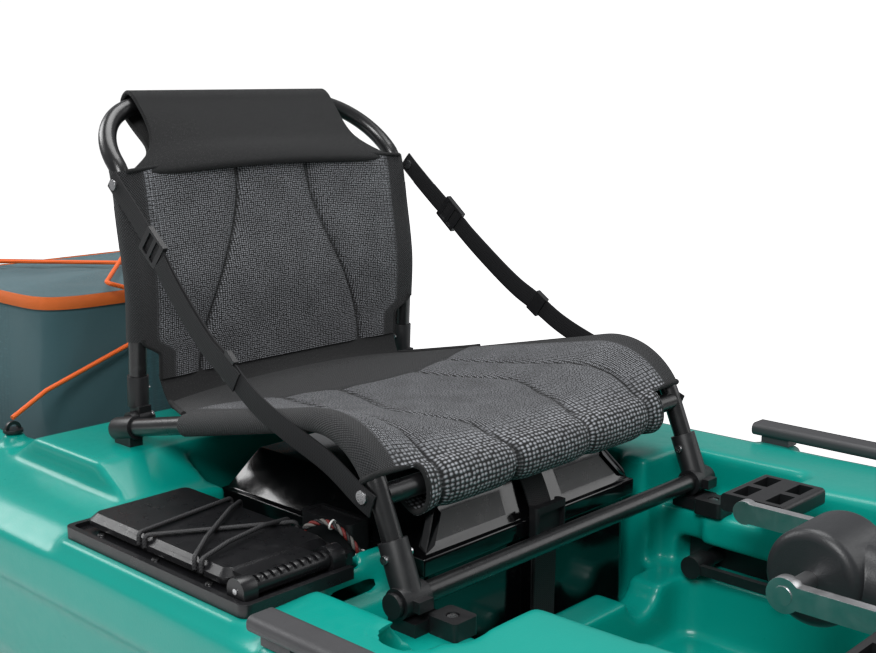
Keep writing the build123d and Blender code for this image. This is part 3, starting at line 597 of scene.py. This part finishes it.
# ---------------------------------------------------------------- stage
class BOAT_OT_stage(bpy.types.Operator):
    """Pale floor, soft lights and the camera"""
    bl_idname = "boat.stage"
    bl_label = "Stage"

    def execute(self, context):
        scene = context.scene
        scene.view_settings.view_transform = "Standard"
        deselect()
        bpy.ops.mesh.primitive_plane_add(size=12, location=(0, 0, -0.0005))
        floor = context.object
        floor.name = "floor"
        material, tree, shader = blank("pale_floor", Roughness=0.9)
        place = put(tree, "TexCoord").outputs["Object"]
        cloud = cloudy(tree, place, 1.5)
        tree.links.new(blend_colours(tree, cloud, (0.78, 0.78, 0.78, 1), (0.82, 0.82, 0.82, 1)),
                       shader.inputs["Base Color"])
        paint(floor, material)
        floor.is_shadow_catcher = True
        world = bpy.data.worlds.new("studio")
        scene.world = world
        world.use_nodes = True
        sky = world.node_tree
        soft = sky.nodes["Background"]
        soft.inputs[0].default_value = (0.95, 0.97, 1.0, 1)
        soft.inputs[1].default_value = 0.30
        white = sky.nodes.new("ShaderNodeBackground")
        white.inputs[0].default_value = (1, 1, 1, 1)
        white.inputs[1].default_value = 1.05
        seen = sky.nodes.new("ShaderNodeLightPath")
        mix = sky.nodes.new("ShaderNodeMixShader")
        sky.links.new(seen.outputs["Is Camera Ray"], mix.inputs[0])
        sky.links.new(soft.outputs[0], mix.inputs[1])
        sky.links.new(white.outputs[0], mix.inputs[2])
        sky.links.new(mix.outputs[0], sky.nodes["World Output"].inputs[0])
        lights = (("key", (-2.3, -1.5, 2.7), 1.3, 84), ("top", (0.5, 0.3, 3.3), 2.0, 62),
                  ("fill", (2.6, -2.0, 2.0), 2.0, 20), ("back", (-1.0, 2.9, 2.4), 1.6, 50))
        for name, at, size, power in lights:
            lamp = bpy.data.lights.new(name, "AREA")
            lamp.size = size
            lamp.energy = power
            obj = bpy.data.objects.new(name, lamp)
            obj.location = at
            obj.rotation_euler = (Vector((0, 0, 0.4)) - Vector(at)).to_track_quat("-Z", "Y").to_euler()
            scene.collection.objects.link(obj)
        turn, tilt = math.radians(46.5), math.radians(11.2)
        data = bpy.data.cameras.new("camera")
        data.sensor_width = 36
        data.lens = 52.03
        camera = bpy.data.objects.new("camera", data)
        camera.location = (-1.0893, -1.0681, 0.8184)
        look = Vector((math.sin(turn) * math.cos(tilt), math.cos(turn) * math.cos(tilt), -math.sin(tilt)))
        camera.rotation_euler = look.to_track_quat("-Z", "Y").to_euler()
        scene.collection.objects.link(camera)
        scene.camera = camera
        return {"FINISHED"}


# ---------------------------------------------------------------- hull
def spread_directions(count):
    """Evenly spread directions, by the golden angle."""
    found = []
    for k in range(count):
        z = 1 - 2 * (k + 0.5) / count
        turn = k * 2.399963
        flat = math.sqrt(1 - z * z)
        found.append(Vector((flat * math.cos(turn), flat * math.sin(turn), z)))
    return found


def drop_hidden_skin(obj):
    """Takes away the hull's inner skin, the largest run of faces that no outside direction can see."""
    skin = bmesh.new()
    skin.from_mesh(obj.data)
    skin.normal_update()
    skin.faces.ensure_lookup_table()
    tree = BVHTree.FromBMesh(skin)
    hidden = set()
    directions = spread_directions(90)
    for face in skin.faces:
        start = face.calc_center_median() + face.normal * 0.0003
        views = (d for d in directions if d.dot(face.normal) > 0.02)
        if all(tree.ray_cast(start, d)[0] is not None for d in views):
            hidden.add(face)
    largest = []
    while hidden:
        queue = [hidden.pop()]
        run = []
        while queue:
            face = queue.pop()
            run.append(face)
            near = {other for edge in face.edges for other in edge.link_faces} & hidden
            hidden -= near
            queue.extend(near)
        if len(run) > len(largest):
            largest = run
    bmesh.ops.delete(skin, geom=largest, context="FACES")
    rims = [edge for edge in skin.edges if edge.is_boundary]
    bmesh.ops.holes_fill(skin, edges=rims, sides=0)
    bmesh.ops.triangulate(skin, faces=[f for f in skin.faces if len(f.verts) > 4])
    skin.to_mesh(obj.data)
    skin.free()


class BOAT_OT_hull(bpy.types.Operator):
    """One moulded hull with rounded edges"""
    bl_idname = "boat.hull"
    bl_label = "Hull"

    def execute(self, context):
        hull = frame["nodes"]["hull"].copy()
        hull.data = hull.data.copy()
        hull.parent = None
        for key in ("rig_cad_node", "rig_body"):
            if key in hull:
                del hull[key]
        hull.name = "hull_shell"
        context.scene.collection.objects.link(hull)
        edit(hull, merge)
        drop_hidden_skin(hull)
        size = context.scene.boat_sizes.skin
        finish_with(hull, "REMESH", mode="VOXEL", voxel_size=size, adaptivity=0.0)
        finish_with(hull, "SMOOTH", factor=0.5, iterations=7)
        faces = len(hull.data.polygons) * 2
        finish_with(hull, "DECIMATE", decimate_type="COLLAPSE", ratio=min(1.0, 190000 / faces))
        smooth(hull, 60)
        paint(hull, made("hull_plastic"))
        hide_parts("hull")
        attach(hull, "hull")
        return {"FINISHED"}


# ---------------------------------------------------------------- carried CAD pieces
TUBES = ("seat_rail_left", "seat_rail_right", "seat_front_upper_tube", "seat_front_lower_tube", "back_tube")
CARRIED = {
    "hatch_plastic": ("side_hatch_frame", "side_hatch_lid", "bow_hatch_rim", "bow_hatch_lid", "drain_plug"),
    "fitting_plastic": ("tube_end_caps", "front_brackets", "rear_clamps", "mount_blocks", "back_sockets",
                        "strap_buckles", "strap_keepers", "box_buckle", "power_box", "pad_eyes",
                        "steering_plate", "steering_lever", "pedal_left", "pedal_right"),
    "screw_steel": ("side_hatch_pins", "side_hatch_screws", "bow_hatch_pin", "mount_screws",
                    "bracket_screws", "pivot_bolts", "socket_screws", "upper_strap_bolts",
                    "lower_strap_bolts", "drive_pin", "rudder_pintle", "rudder_kick_pin"),
    "tube_black": TUBES,
    "box_gloss": ("dry_box",),
    "bungee_dark": ("side_hatch_bungee",),
    "tie_white": ("cable_ties",),
    "handle_grey": ("side_handles", "end_handles"),
    "drive_casting": ("drive_bracket", "drive_housing", "rudder_bracket"),
    "crank_alloy": ("crank_set",),
    "propeller_plastic": ("propeller",),
    "rudder_plastic": ("rudder_head", "rudder_blade"),
}
SOFT_EDGE = {"dry_box": 2.0, "power_box": 1.6, "side_handles": 2.0, "mount_blocks": 2.0,
             "rudder_blade": 1.6, "side_hatch_lid": 1.3, "bow_hatch_lid": 1.6, "rear_clamps": 1.2}
UNBEVELLED = (*TUBES, "side_hatch_bungee")


class BOAT_OT_fittings(bpy.types.Operator):
    """Finishes and eased edges on the hard fittings"""
    bl_idname = "boat.fittings"
    bl_label = "Hard fittings"

    def execute(self, context):
        for material, nodes in CARRIED.items():
            for name in nodes:
                node = frame["nodes"][name]
                paint(node, made(material))
                if name in UNBEVELLED:
                    continue
                weld = node.modifiers.new("Weld", "WELD")
                weld.merge_threshold = 0.00003
                bevel = node.modifiers.new("Bevel", "BEVEL")
                bevel.width = SOFT_EDGE.get(name, 0.8) * MM
                bevel.segments = 3
                bevel.limit_method = "ANGLE"
                bevel.angle_limit = math.radians(38)
                bevel.use_clamp_overlap = True
                bevel.harden_normals = False
        return {"FINISHED"}


# ---------------------------------------------------------------- dry box lid
def faces_where(obj, test):
    """Selects the faces whose centre and normal pass the test, ready for edit mode."""
    only(obj)
    bpy.ops.object.mode_set(mode="EDIT")
    bpy.ops.mesh.select_mode(type="FACE")
    bpy.ops.mesh.select_all(action="DESELECT")
    bpy.ops.object.mode_set(mode="OBJECT")
    for face in obj.data.polygons:
        face.select = test(face.center, face.normal)
    bpy.ops.object.mode_set(mode="EDIT")


def apply_place(obj):
    only(obj)
    bpy.ops.object.transform_apply(location=True, rotation=True, scale=True)


class BOAT_OT_box_lid(bpy.types.Operator):
    """Glossy lid of the dry box, with framed panels on its sloped front"""
    bl_idname = "boat.box_lid"
    bl_label = "Dry box lid"

    def execute(self, context):
        low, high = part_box("dry_box_lid")
        rim, slope_x, slope_y = 21 * MM, 0.80, 0.885
        size = high - low
        deselect()
        bpy.ops.mesh.primitive_cube_add(size=1, location=((low.x + high.x) / 2, -20 * MM, low.z + rim / 2))
        lid = context.object
        lid.name = "dry_box_lid_shell"
        lid.scale = (size.x, 350 * MM, rim)
        apply_place(lid)
        top_z = low.z + rim
        faces_where(lid, lambda c, n: n.z > 0.9)
        bpy.ops.mesh.inset(thickness=5 * MM, depth=0)
        bpy.ops.mesh.extrude_region_move(TRANSFORM_OT_translate={"value": (0, 0, high.z - top_z)})
        bpy.ops.transform.resize(value=(slope_x, slope_y, 1))
        bpy.ops.object.mode_set(mode="OBJECT")
        finish_with(lid, "BEVEL", width=6.5 * MM, segments=4, limit_method="ANGLE",
                    angle_limit=math.radians(25))
        for x in (-38 * MM, 46 * MM):
            only(lid)
            bpy.ops.object.mode_set(mode="EDIT")
            bpy.ops.mesh.select_all(action="SELECT")
            bpy.ops.mesh.bisect(plane_co=(x, 0, 0), plane_no=(1, 0, 0))
            bpy.ops.object.mode_set(mode="OBJECT")
        lid.data.materials.append(made("box_gloss"))
        lid.data.materials.append(made("box_panel"))

        def sloped(c, n):
            inside = top_z + 8 * MM < c.z < high.z - 8 * MM
            return n.y < -0.6 and n.z > 0.2 and inside and abs(c.x - 4 * MM) > 45 * MM

        faces_where(lid, sloped)
        bpy.ops.mesh.inset(thickness=9 * MM, depth=-0.9 * MM, use_individual=True)
        bpy.ops.object.mode_set(mode="OBJECT")
        for face in lid.data.polygons:
            if face.select:
                face.material_index = 1
        edit(lid, outwards)
        smooth(lid, 35)
        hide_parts("dry_box_lid")
        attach(lid, "hull")
        return {"FINISHED"}


# ---------------------------------------------------------------- seat pan
def rail_at(t):
    """Rail centre line and its upward normal, t metres forward of the pan's rear edge."""
    along = (RAIL_CORNER - RAIL_REAR).normalized()
    down = (LEG_FOOT - RAIL_CORNER).normalized()
    turn = math.acos(max(-1.0, min(1.0, along.dot(down))))
    reach = RAIL_BEND * math.tan(turn / 2)
    up = Vector((0, -along.z, along.y))
    if up.z < 0:
        up = -up
    bend_start = RAIL_CORNER - along * reach
    centre = bend_start - up * RAIL_BEND
    start = RAIL_REAR + along * ((PAN_REAR_Y - RAIL_REAR.y) / along.y)
    straight = (bend_start - start).length
    if t <= straight:
        return start + along * t, up
    angle = math.atan2(up.z, up.y) + (t - straight) / RAIL_BEND
    out = Vector((0, math.cos(angle), math.sin(angle)))
    return centre + out * RAIL_BEND, out


def pan_length():
    """Length of the pan along the rail, to where the sleeve stops on the bend."""
    low, high = 0.0, 0.49
    for _ in range(40):
        middle = (low + high) / 2
        _, out = rail_at(middle)
        if math.atan2(out.z, out.y) < PAN_LEG_ANGLE:
            low = middle
        else:
            high = middle
    return low


PAN_FLAT = pan_length()
ROLL_TUCK = 0.026
PAN_FULL = PAN_FLAT + math.pi * ROLL_R + ROLL_TUCK
SLEEVE_WRAP = math.radians(232) * SLEEVE_R
PAN_HALF = RAIL_X + SLEEVE_WRAP


def seam_distance(x, y):
    """How far a point of the pan is from the nearest sewn line."""
    return min(abs(abs(x) - curve_through(table, y / MM) * MM) for table in (INNER_SEAM, OUTER_SEAM))


def seam_relief(x, y, depth):
    """Height of the padded channels beside the sewn lines."""
    near = seam_distance(x, y)
    groove = math.exp(-((near / 0.0034) ** 2))
    swell = 1 - math.exp(-((near / 0.015) ** 2))
    return depth * (0.75 * swell - groove)


def band_border(x):
    """Where the plain rear band of the pan begins."""
    return (68 + 62 * (abs(x) / 0.23) ** 2) * MM


def pan_point(a, t, depth):
    """Point of the seat cloth, a metres across from the middle and t metres forward of the rear edge."""
    side = 1 if a >= 0 else -1
    on_rail, up = rail_at(min(t, PAN_FLAT))
    mid_y = PAN_REAR_Y + (ROLL_CENTRE.y - PAN_REAR_Y) * min(t, PAN_FLAT) / PAN_FLAT
    mid_z = PAN_MID_Z - 0.012 * ease((-0.150 - mid_y) / 0.05) - 0.010 * ease((mid_y - 0.15) / 0.086)
    across = min(abs(a), RAIL_X)
    if on_rail.y > PAN_SLEEVE_Y:
        cut = (on_rail.y - PAN_SLEEVE_Y) / (PAN_REAR_Y - PAN_SLEEVE_Y)
        across *= 1 - 0.225 * cut
    share = (across / RAIL_X) ** 2.2
    top = on_rail + up * SLEEVE_R
    if abs(a) > RAIL_X and on_rail.y <= PAN_SLEEVE_Y + 0.006:
        angle = (abs(a) - RAIL_X) / SLEEVE_R
        out = up * math.cos(angle) + Vector((side, 0, 0)) * math.sin(angle)
        return Vector((side * RAIL_X, on_rail.y, on_rail.z)) + out * SLEEVE_R
    flat = Vector((side * across, mid_y + (top.y - mid_y) * share, mid_z + (top.z - mid_z) * share))
    relief = seam_relief(flat.x, flat.y, depth)
    if flat.y > band_border(flat.x) - 0.012:
        away = abs(flat.y - band_border(flat.x))
        relief *= ease((band_border(flat.x) - flat.y) / 0.012)
        relief -= depth * math.exp(-((away / 0.0034) ** 2))
    fade = 1 - ease((across - 0.225) / 0.03)
    if t <= PAN_FLAT:
        return flat + up * relief * fade
    angle = (t - PAN_FLAT) / ROLL_R
    lift = flat - Vector((flat.x, ROLL_CENTRE.y, ROLL_CENTRE.z + ROLL_R))
    if angle <= math.pi:
        out = Vector((0, -math.sin(angle), math.cos(angle)))
        point = ROLL_CENTRE + out * (ROLL_R + relief * fade)
    else:
        out = Vector((0, 0, -1))
        further = t - PAN_FLAT - math.pi * ROLL_R
        point = ROLL_CENTRE + Vector((0, further * 0.85, -ROLL_R + further * 0.5))
    point = point + lift * (1 - ease(angle / 1.6))
    return Vector((flat.x, point.y, point.z))


class BOAT_OT_seat_pan(bpy.types.Operator):
    """Seat cloth with sleeves on the rails, padded channels and a front roll"""
    bl_idname = "boat.seat_pan"
    bl_label = "Seat pan"

    def execute(self, context):
        sizes = context.scene.boat_sizes

        def place(u, v):
            a, t = (2 * u - 1) * PAN_HALF, v * PAN_FULL
            return pan_point(a, t, sizes.seam), (a, t)

        def keep(u, v):
            a, t = (2 * u - 1) * PAN_HALF, v * PAN_FULL
            on_rail, _ = rail_at(min(t, PAN_FLAT))
            if abs(a) > RAIL_X and (on_rail.y > PAN_SLEEVE_Y or t > PAN_FLAT):
                return False
            return t <= PAN_FLAT or abs(a) <= ROLL_HALF

        def roll(u, v):
            return ease((v * PAN_FULL - PAN_FLAT + 0.050) / 0.05)

        def plain(u, v):
            a, t = (2 * u - 1) * PAN_HALF, v * PAN_FULL
            point = pan_point(a, t, 0.0)
            inside = ease((point.y - band_border(point.x)) / 0.003)
            return max(inside, ease((abs(a) - 0.236) / 0.004))

        # mask of painted shade along the sewn grooves and the fold at the rear band
        def seam(u, v):
            a, t = (2 * u - 1) * PAN_HALF, v * PAN_FULL
            point = pan_point(a, t, 0.0)
            near = seam_distance(point.x, point.y) if point.y < band_border(point.x) else 1.0
            return math.exp(-((min(near, abs(point.y - band_border(point.x))) / 0.0026) ** 2))

        pan = cloth_grid("seat_pan_cloth", 180, 160, place, keep,
                         (("roll", roll), ("plain", plain), ("seam", seam)))
        edit(pan, bpy.ops.mesh.flip_normals)
        thicken(pan, sizes.cloth, -1.0)
        paint(pan, made("mesh_fabric"))
        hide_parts("seat_pan")
        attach(pan, "hull")
        self.bindings(sizes)
        return {"FINISHED"}

    def bindings(self, sizes):
        """Sewn binding round the front corners, the ends of the roll and the rear corners."""
        steps = 14
        for side, word in ((-1, "right"), (1, "left")):
            leg = [(RAIL_X + SLEEVE_WRAP * k / 6, PAN_FLAT - 0.001) for k in range(5, -1, -1)]
            leg += [(RAIL_X - 0.008 * k, PAN_FLAT - 0.001) for k in range(1, 7)]
            leg += [(ROLL_HALF, PAN_FLAT + (PAN_FULL - PAN_FLAT) * k / steps) for k in range(1, steps + 1)]
            rear = [(RAIL_X, 0.114 * k / steps) for k in range(steps + 1)]
            for label, line in (("front", leg), ("rear", rear)):
                points = [pan_point(side * a, t, 0.0) for a, t in line]
                piece = round_line(f"seat_{label}_binding_{word}", points, sizes.piping)
                paint(piece, made("headrest_fabric"))
                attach(piece, "hull")


# ---------------------------------------------------------------- seat back
PANEL_HALF = UPRIGHT_X + math.radians(265) * SLEEVE_R


def upright_y(z):
    return curve_through([(a * MM, b * MM) for a, b in UPRIGHT_LINE], z)


def panel_seam(z):
    """Distance from the middle to the back's curved seams."""
    return 0.140 - 0.080 * ease((z - PANEL_LOW_Z) / 0.25)


def panel_point(b, v, depth):
    """Point of the back cloth, b metres across and v from its bottom to its top seam."""
    side = 1 if b >= 0 else -1
    across = min(abs(b), UPRIGHT_X)
    top = 0.7135 - 0.0085 * (across / UPRIGHT_X) ** 2
    z = PANEL_LOW_Z + v * (top - PANEL_LOW_Z)
    if z < PANEL_SLEEVE_Z:
        across *= 1 - 0.118 * ease((PANEL_SLEEVE_Z - z) / 0.022)
    y = upright_y(z)
    if abs(b) > UPRIGHT_X:
        angle = (abs(b) - UPRIGHT_X) / SLEEVE_R
        return Vector((side * (UPRIGHT_X + SLEEVE_R * math.sin(angle)), y - SLEEVE_R * math.cos(angle), z))
    near = abs(across - panel_seam(z))
    relief = depth * (0.7 * (1 - math.exp(-((near / 0.015) ** 2))) - math.exp(-((near / 0.0034) ** 2)))
    relief *= 1 - ease((across - 0.19) / 0.03)
    return Vector((side * across, y - 0.004 - 0.0094 * (across / UPRIGHT_X) ** 3 - relief, z))


HEAD_LOOP = ((266, 701), (300, 739), (334, 778), (347, 792), (359, 797), (370, 791), (374, 780), (368, 768),
             (336, 740), (292, 706), (279, 697))
HEAD_LOW, HEAD_HIGH = Vector((0, 276, 702)) * MM, Vector((0, 359, 782)) * MM


def loop_point(v):
    """Point on the closed outline of the headrest, in the (y, z) plane."""
    count = len(HEAD_LOOP)
    k = v * count
    i = int(math.floor(k)) % count
    t = k - math.floor(k)
    a, b, c, d = [Vector((0, *HEAD_LOOP[(i + n) % count])) * MM for n in (-1, 0, 1, 2)]
    bend, twist = 2 * a - 5 * b + 4 * c - d, 3 * b - a - 3 * c + d
    return 0.5 * (2 * b + (c - a) * t + bend * t ** 2 + twist * t ** 3)


def head_point(u, v):
    outline = loop_point(v)
    axis = HEAD_HIGH - HEAD_LOW
    share = max(0.0, min(1.0, (outline - HEAD_LOW).dot(axis) / axis.length_squared))
    middle = HEAD_LOW + axis * share
    half = 0.159 + 0.058 * (1 - share) ** 4 + 0.006 * ease(share)
    across = (2 * u - 1) * half
    edge = abs(2 * u - 1)
    thin = 1 - (1 - ease(share * 1.3)) * (0.75 * edge ** 6)
    point = middle + (outline - middle) * thin
    arch = 0.0095 * (1 - (across / 0.215) ** 2) * (1 - ease(share * 2.6))
    return Vector((across, point.y, point.z + arch))


class BOAT_OT_seat_back(bpy.types.Operator):
    """Back panel, headrest and the cloth that joins them to the pan"""
    bl_idname = "boat.seat_back"
    bl_label = "Seat back"

    def execute(self, context):
        sizes = context.scene.boat_sizes

        def place(u, v):
            b = (2 * u - 1) * PANEL_HALF
            return panel_point(b, v, sizes.seam), (b, v * 0.255)

        def keep(u, v):
            b = (2 * u - 1) * PANEL_HALF
            point = panel_point(b, v, 0.0)
            return abs(b) <= UPRIGHT_X or point.z > PANEL_SLEEVE_Z

        def plain(u, v):
            return ease((abs((2 * u - 1) * PANEL_HALF) - 0.205) / 0.004)

        # mask of painted shade along the back's sewn grooves
        def seam(u, v):
            point = panel_point((2 * u - 1) * PANEL_HALF, v, 0.0)
            return math.exp(-(((abs(point.x) - panel_seam(point.z)) / 0.0026) ** 2))

        def roll(u, v):
            side = abs(2 * u - 1)
            return 0.75 * ease((side - 0.55) / 0.25) * ease((v - 0.35) / 0.3)

        panel = cloth_grid("back_panel_cloth", 170, 90, place, keep,
                           (("plain", plain), ("roll", roll), ("seam", seam)))
        thicken(panel, sizes.cloth, -1.0)
        paint(panel, made("mesh_fabric"))
        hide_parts("back_panel")
        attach(panel, "seat_back")

        head = cloth_grid("headrest_cloth", 96, 88, lambda u, v: (head_point(u, v), (u * 0.4, v * 0.25)))
        edit(head, merge, bpy.ops.mesh.flip_normals)
        thicken(head, sizes.cloth, -1.0)
        paint(head, made("headrest_fabric"))
        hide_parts("headrest")
        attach(head, "seat_back")

        def joining(u, v):
            a = (2 * u - 1)
            rear = pan_point(a * RAIL_X, 0.0, 0.0)
            low = panel_point(a * UPRIGHT_X, 0.0, 0.0)
            sag = math.sin(math.pi * v) * 0.007
            point = rear.lerp(low, 1.5 * v - 0.25)
            return Vector((point.x, point.y, point.z - sag - 0.0016)), (a * 0.2, v * 0.03)

        join = cloth_grid("seat_joining_cloth", 60, 12, joining)
        thicken(join, 0.0022, 0.0)
        paint(join, made("headrest_fabric"))
        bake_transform(join)
        self.piping(sizes)
        return {"FINISHED"}

    def piping(self, sizes):
        """Sewn binding on the arched seam, the lower openings and the headrest's ends."""
        steps = 16
        front = Vector((0, 0.002, 0))
        arch = [panel_point(UPRIGHT_X * (2 * k / steps - 1), 1.0, 0.0) - front for k in range(steps + 1)]
        pieces = [("back_arch_binding", arch)]
        for side, word in ((-1, "right"), (1, "left")):
            low = [panel_point(side * UPRIGHT_X, 0.215 * k / steps, 0.0) for k in range(steps + 1)]
            pieces.append((f"back_opening_binding_{word}", low))
            end = [head_point(0.5 + side * 0.497, 0.02 + 0.94 * k / 40) for k in range(41)]
            pieces.append((f"headrest_binding_{word}", end))
        for name, points in pieces:
            piece = round_line(name, points, sizes.piping * 0.8)
            paint(piece, made("headrest_fabric"))
            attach(piece, "seat_back")


# ---------------------------------------------------------------- straps
UPPER_STRAP = mm((250, 270, 697), (250, 258, 686), (250.5, 226, 659), (252, 200, 637), (254, 186, 626),
                 (254.6, 174, 616))
LOWER_STRAP = mm((254.6, 176, 617), (254.8, 166, 609), (256, 150, 597), (264, 70, 533), (268.5, 34, 511),
                 (270.5, 2, 489), (273.6, -30, 473), (275, -75, 457), (269, -125, 437),
                 (269, -150, 426), (274.5, -190, 409), (274, -206, 403))
DOUBLED_STRAP = mm((257.4, 166, 607), (258.4, 150, 594), (266.4, 70, 530), (270.8, 34, 508), (272.4, 8, 492))
BOX_STRAP_LINE = ((-198, 152), (-198, 240), (-198, 318), (-196, 330), (-180, 364), (-173, 371.5),
                  (-160, 371.5),
                  (120, 371.5), (133, 371.5), (141, 364), (156, 330), (158.5, 318), (158.5, 152))  # (y, z)
BOX_STRAP = mm(*((3, y, z) for y, z in BOX_STRAP_LINE))
BOX_TAIL = mm((-7, -210, 300), (-7, -211, 270), (-8, -210, 230), (-10, -212, 190), (-9, -214, 158))


class BOAT_OT_straps(bpy.types.Operator):
    """Webbing on the seat back and the dry box"""
    bl_idname = "boat.straps"
    bl_label = "Straps"

    def execute(self, context):
        sizes = context.scene.boat_sizes
        sag = {"right": 0.008, "left": 0.003}
        for word, turn in (("right", mirrored), ("left", list)):
            upper = ribbon(f"upper_strap_{word}", turn(UPPER_STRAP), sizes.strap, sizes.webbing, flat_to_x)
            paint(upper, made("webbing"))
            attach(upper, "seat_back")
            drop = Vector((0, 0, -sag[word]))
            for label, line in (("lower", LOWER_STRAP), ("doubled", DOUBLED_STRAP)):
                points = [p + drop * (1 if 0.06 < p.y < 0.155 else 0) for p in turn(line)]
                piece = ribbon(f"{label}_strap_{word}", points, sizes.strap, sizes.webbing, flat_to_x)
                paint(piece, made("webbing"))
                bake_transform(piece)
            if word == "right":
                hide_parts("upper_straps")
                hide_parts("lower_straps")
        band = ribbon("box_strap_band", BOX_STRAP, 0.038, 0.0018, flat_up)
        tail = ribbon("box_strap_tail", BOX_TAIL, 0.038, 0.0018, flat_up)
        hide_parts("box_strap")
        for piece in (band, tail):
            paint(piece, made("webbing"))
            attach(piece, "hull")
        return {"FINISHED"}


# ---------------------------------------------------------------- lead
CABLE = mm((-254, -72, 338), (-247, -79, 347), (-238, -92, 351), (-233, -112, 346), (-227, -128, 330),
           (-217, -134, 310), (-205, -134, 292), (-197, -132, 274), (-188, -130, 258))


class BOAT_OT_lead(bpy.types.Operator):
    """Power lead of three plaited strands"""
    bl_idname = "boat.lead"
    bl_label = "Power lead"

    def execute(self, context):
        line = spaced(route(CABLE), 0.003)
        for n, word in enumerate(("red", "white", "black")):
            points = []
            for k, (point, at) in enumerate(line):
                along = (line[min(k + 1, len(line) - 1)][0] - line[max(k - 1, 0)][0]).normalized()
                side = along.cross(Vector((0.3, 0.2, 1))).normalized()
                up = along.cross(side)
                angle = at / 0.019 * math.tau + n * math.tau / 3
                points.append(point + (side * math.cos(angle) + up * math.sin(angle)) * 0.0019)
            strand = round_line(f"lead_strand_{word}", points, 0.0019, 3)
            paint(strand, made(f"strand_{word}"))
            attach(strand, "hull")
        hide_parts("cable_bundle")
        return {"FINISHED"}


# ---------------------------------------------------------------- rear bag
BAG_LOW, BAG_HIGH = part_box("rear_bag")
BAND_LOW, BAND_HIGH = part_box("bag_band")


def bag_outline(turn, height):
    """Point on the bag's side, turn from 0 to 1 round it and height from 0 to 1."""
    middle, half = (BAG_LOW + BAG_HIGH) / 2, (BAG_HIGH - BAG_LOW) / 2
    angle = turn * math.tau
    c, s = math.cos(angle), math.sin(angle)
    power = 2 / 7
    x = math.copysign(abs(c) ** power, c) * half.x
    y = math.copysign(abs(s) ** power, s) * half.y
    sag = 0.975 + 0.022 * math.sin(math.pi * min(1.0, height * 1.25))
    crease = noise.noise(Vector((c * 2.2, s * 2.2, height * 2.6))) * 0.012 * math.sin(math.pi * height) ** 0.6
    scale = sag - abs(crease)
    z = BAG_LOW.z + 0.0006 + height * (BAND_HIGH.z - BAG_LOW.z - 0.004)
    return Vector((middle.x + x * scale, middle.y + y * scale, z))


def bag_cover(u, v):
    """The bag's sides and its crowned top, from the foot up to the middle of the lid."""
    side = 0.66
    if v < side:
        return bag_outline(u, v / side)
    rim = bag_outline(u, 1.0)
    middle = Vector(((BAG_LOW.x + BAG_HIGH.x) / 2, (BAG_LOW.y + BAG_HIGH.y) / 2, 0))
    t = (v - side) / (1 - side)
    point = rim.lerp(Vector((middle.x, middle.y, rim.z)), t)
    wrinkle = noise.noise(Vector((point.x * 14, point.y * 14, 3.1))) * 0.003
    return Vector((point.x, point.y, rim.z + (0.004 * ease(t * 3) + wrinkle - 0.003) * ease(t * 6)))


class BOAT_OT_bag(bpy.types.Operator):
    """Soft rear bag with its band and elastics"""
    bl_idname = "boat.bag"
    bl_label = "Rear bag"

    def execute(self, context):
        bag = cloth_grid("bag_cloth_shell", 220, 90, lambda u, v: (bag_cover(u, v), (u * 1.5, v * 0.6)))
        edit(bag, merge)
        thicken(bag, 0.0030, -1.0)
        paint(bag, made("bag_cloth"))
        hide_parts("rear_bag")
        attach(bag, "hull")
        band_share = (BAG_HIGH.z - 0.006 - BAG_LOW.z) / (BAND_HIGH.z - BAG_LOW.z)

        def around(u, v):
            height = band_share + (1 - band_share) * v
            point = bag_outline(u, height)
            middle = (BAG_LOW + BAG_HIGH) / 2
            out = Vector((point.x - middle.x, point.y - middle.y, 0)).normalized()
            puff = 0.0028 + 0.0016 * math.sin(math.pi * v)
            return point + out * puff, (u * 1.5, v * 0.03)

        band = cloth_grid("bag_band_cloth", 220, 8, around)
        edit(band, merge)
        thicken(band, 0.0022, 0.0)
        paint(band, made("bag_orange"))
        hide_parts("bag_band")
        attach(band, "hull")
        elastics = frame["nodes"]["rear_bungees"]
        paint(elastics, made("bungee_orange"))
        return {"FINISHED"}


# ---------------------------------------------------------------- panel and registration
STEPS = (("boat.finishes", "Finishes"), ("boat.stage", "Stage"), ("boat.hull", "Hull"),
         ("boat.fittings", "Hard fittings"), ("boat.box_lid", "Dry box lid"), ("boat.seat_pan", "Seat pan"),
         ("boat.seat_back", "Seat back"), ("boat.straps", "Straps"), ("boat.lead", "Power lead"),
         ("boat.bag", "Rear bag"))


class BOAT_PT_panel(bpy.types.Panel):
    """Lists the boat's settings and pieces"""
    bl_label = "Pedal boat"
    bl_idname = "BOAT_PT_panel"
    bl_space_type = "VIEW_3D"
    bl_region_type = "UI"
    bl_category = "Pedal boat"

    def draw(self, context):
        for group in (context.scene.boat_colours, context.scene.boat_sizes):
            for name in group.bl_rna.properties.keys():
                if name not in ("rna_type", "name"):
                    self.layout.prop(group, name)
        for idname, label in STEPS:
            self.layout.operator(idname, text=label)


CLASSES = (BoatColours, BoatSizes, BOAT_OT_finishes, BOAT_OT_stage, BOAT_OT_hull, BOAT_OT_fittings,
           BOAT_OT_box_lid, BOAT_OT_seat_pan, BOAT_OT_seat_back, BOAT_OT_straps, BOAT_OT_lead, BOAT_OT_bag,
           BOAT_PT_panel)


def register():
    for cls in CLASSES:
        bpy.utils.register_class(cls)
    bpy.types.Scene.boat_colours = bpy.props.PointerProperty(type=BoatColours)
    bpy.types.Scene.boat_sizes = bpy.props.PointerProperty(type=BoatSizes)


def unregister():
    del bpy.types.Scene.boat_sizes
    del bpy.types.Scene.boat_colours
    for cls in reversed(CLASSES):
        bpy.utils.unregister_class(cls)


def main():
    register()
    for idname, _ in STEPS:
        group, name = idname.split(".")
        getattr(getattr(bpy.ops, group), name)()


if __name__ == "__main__":
    main()
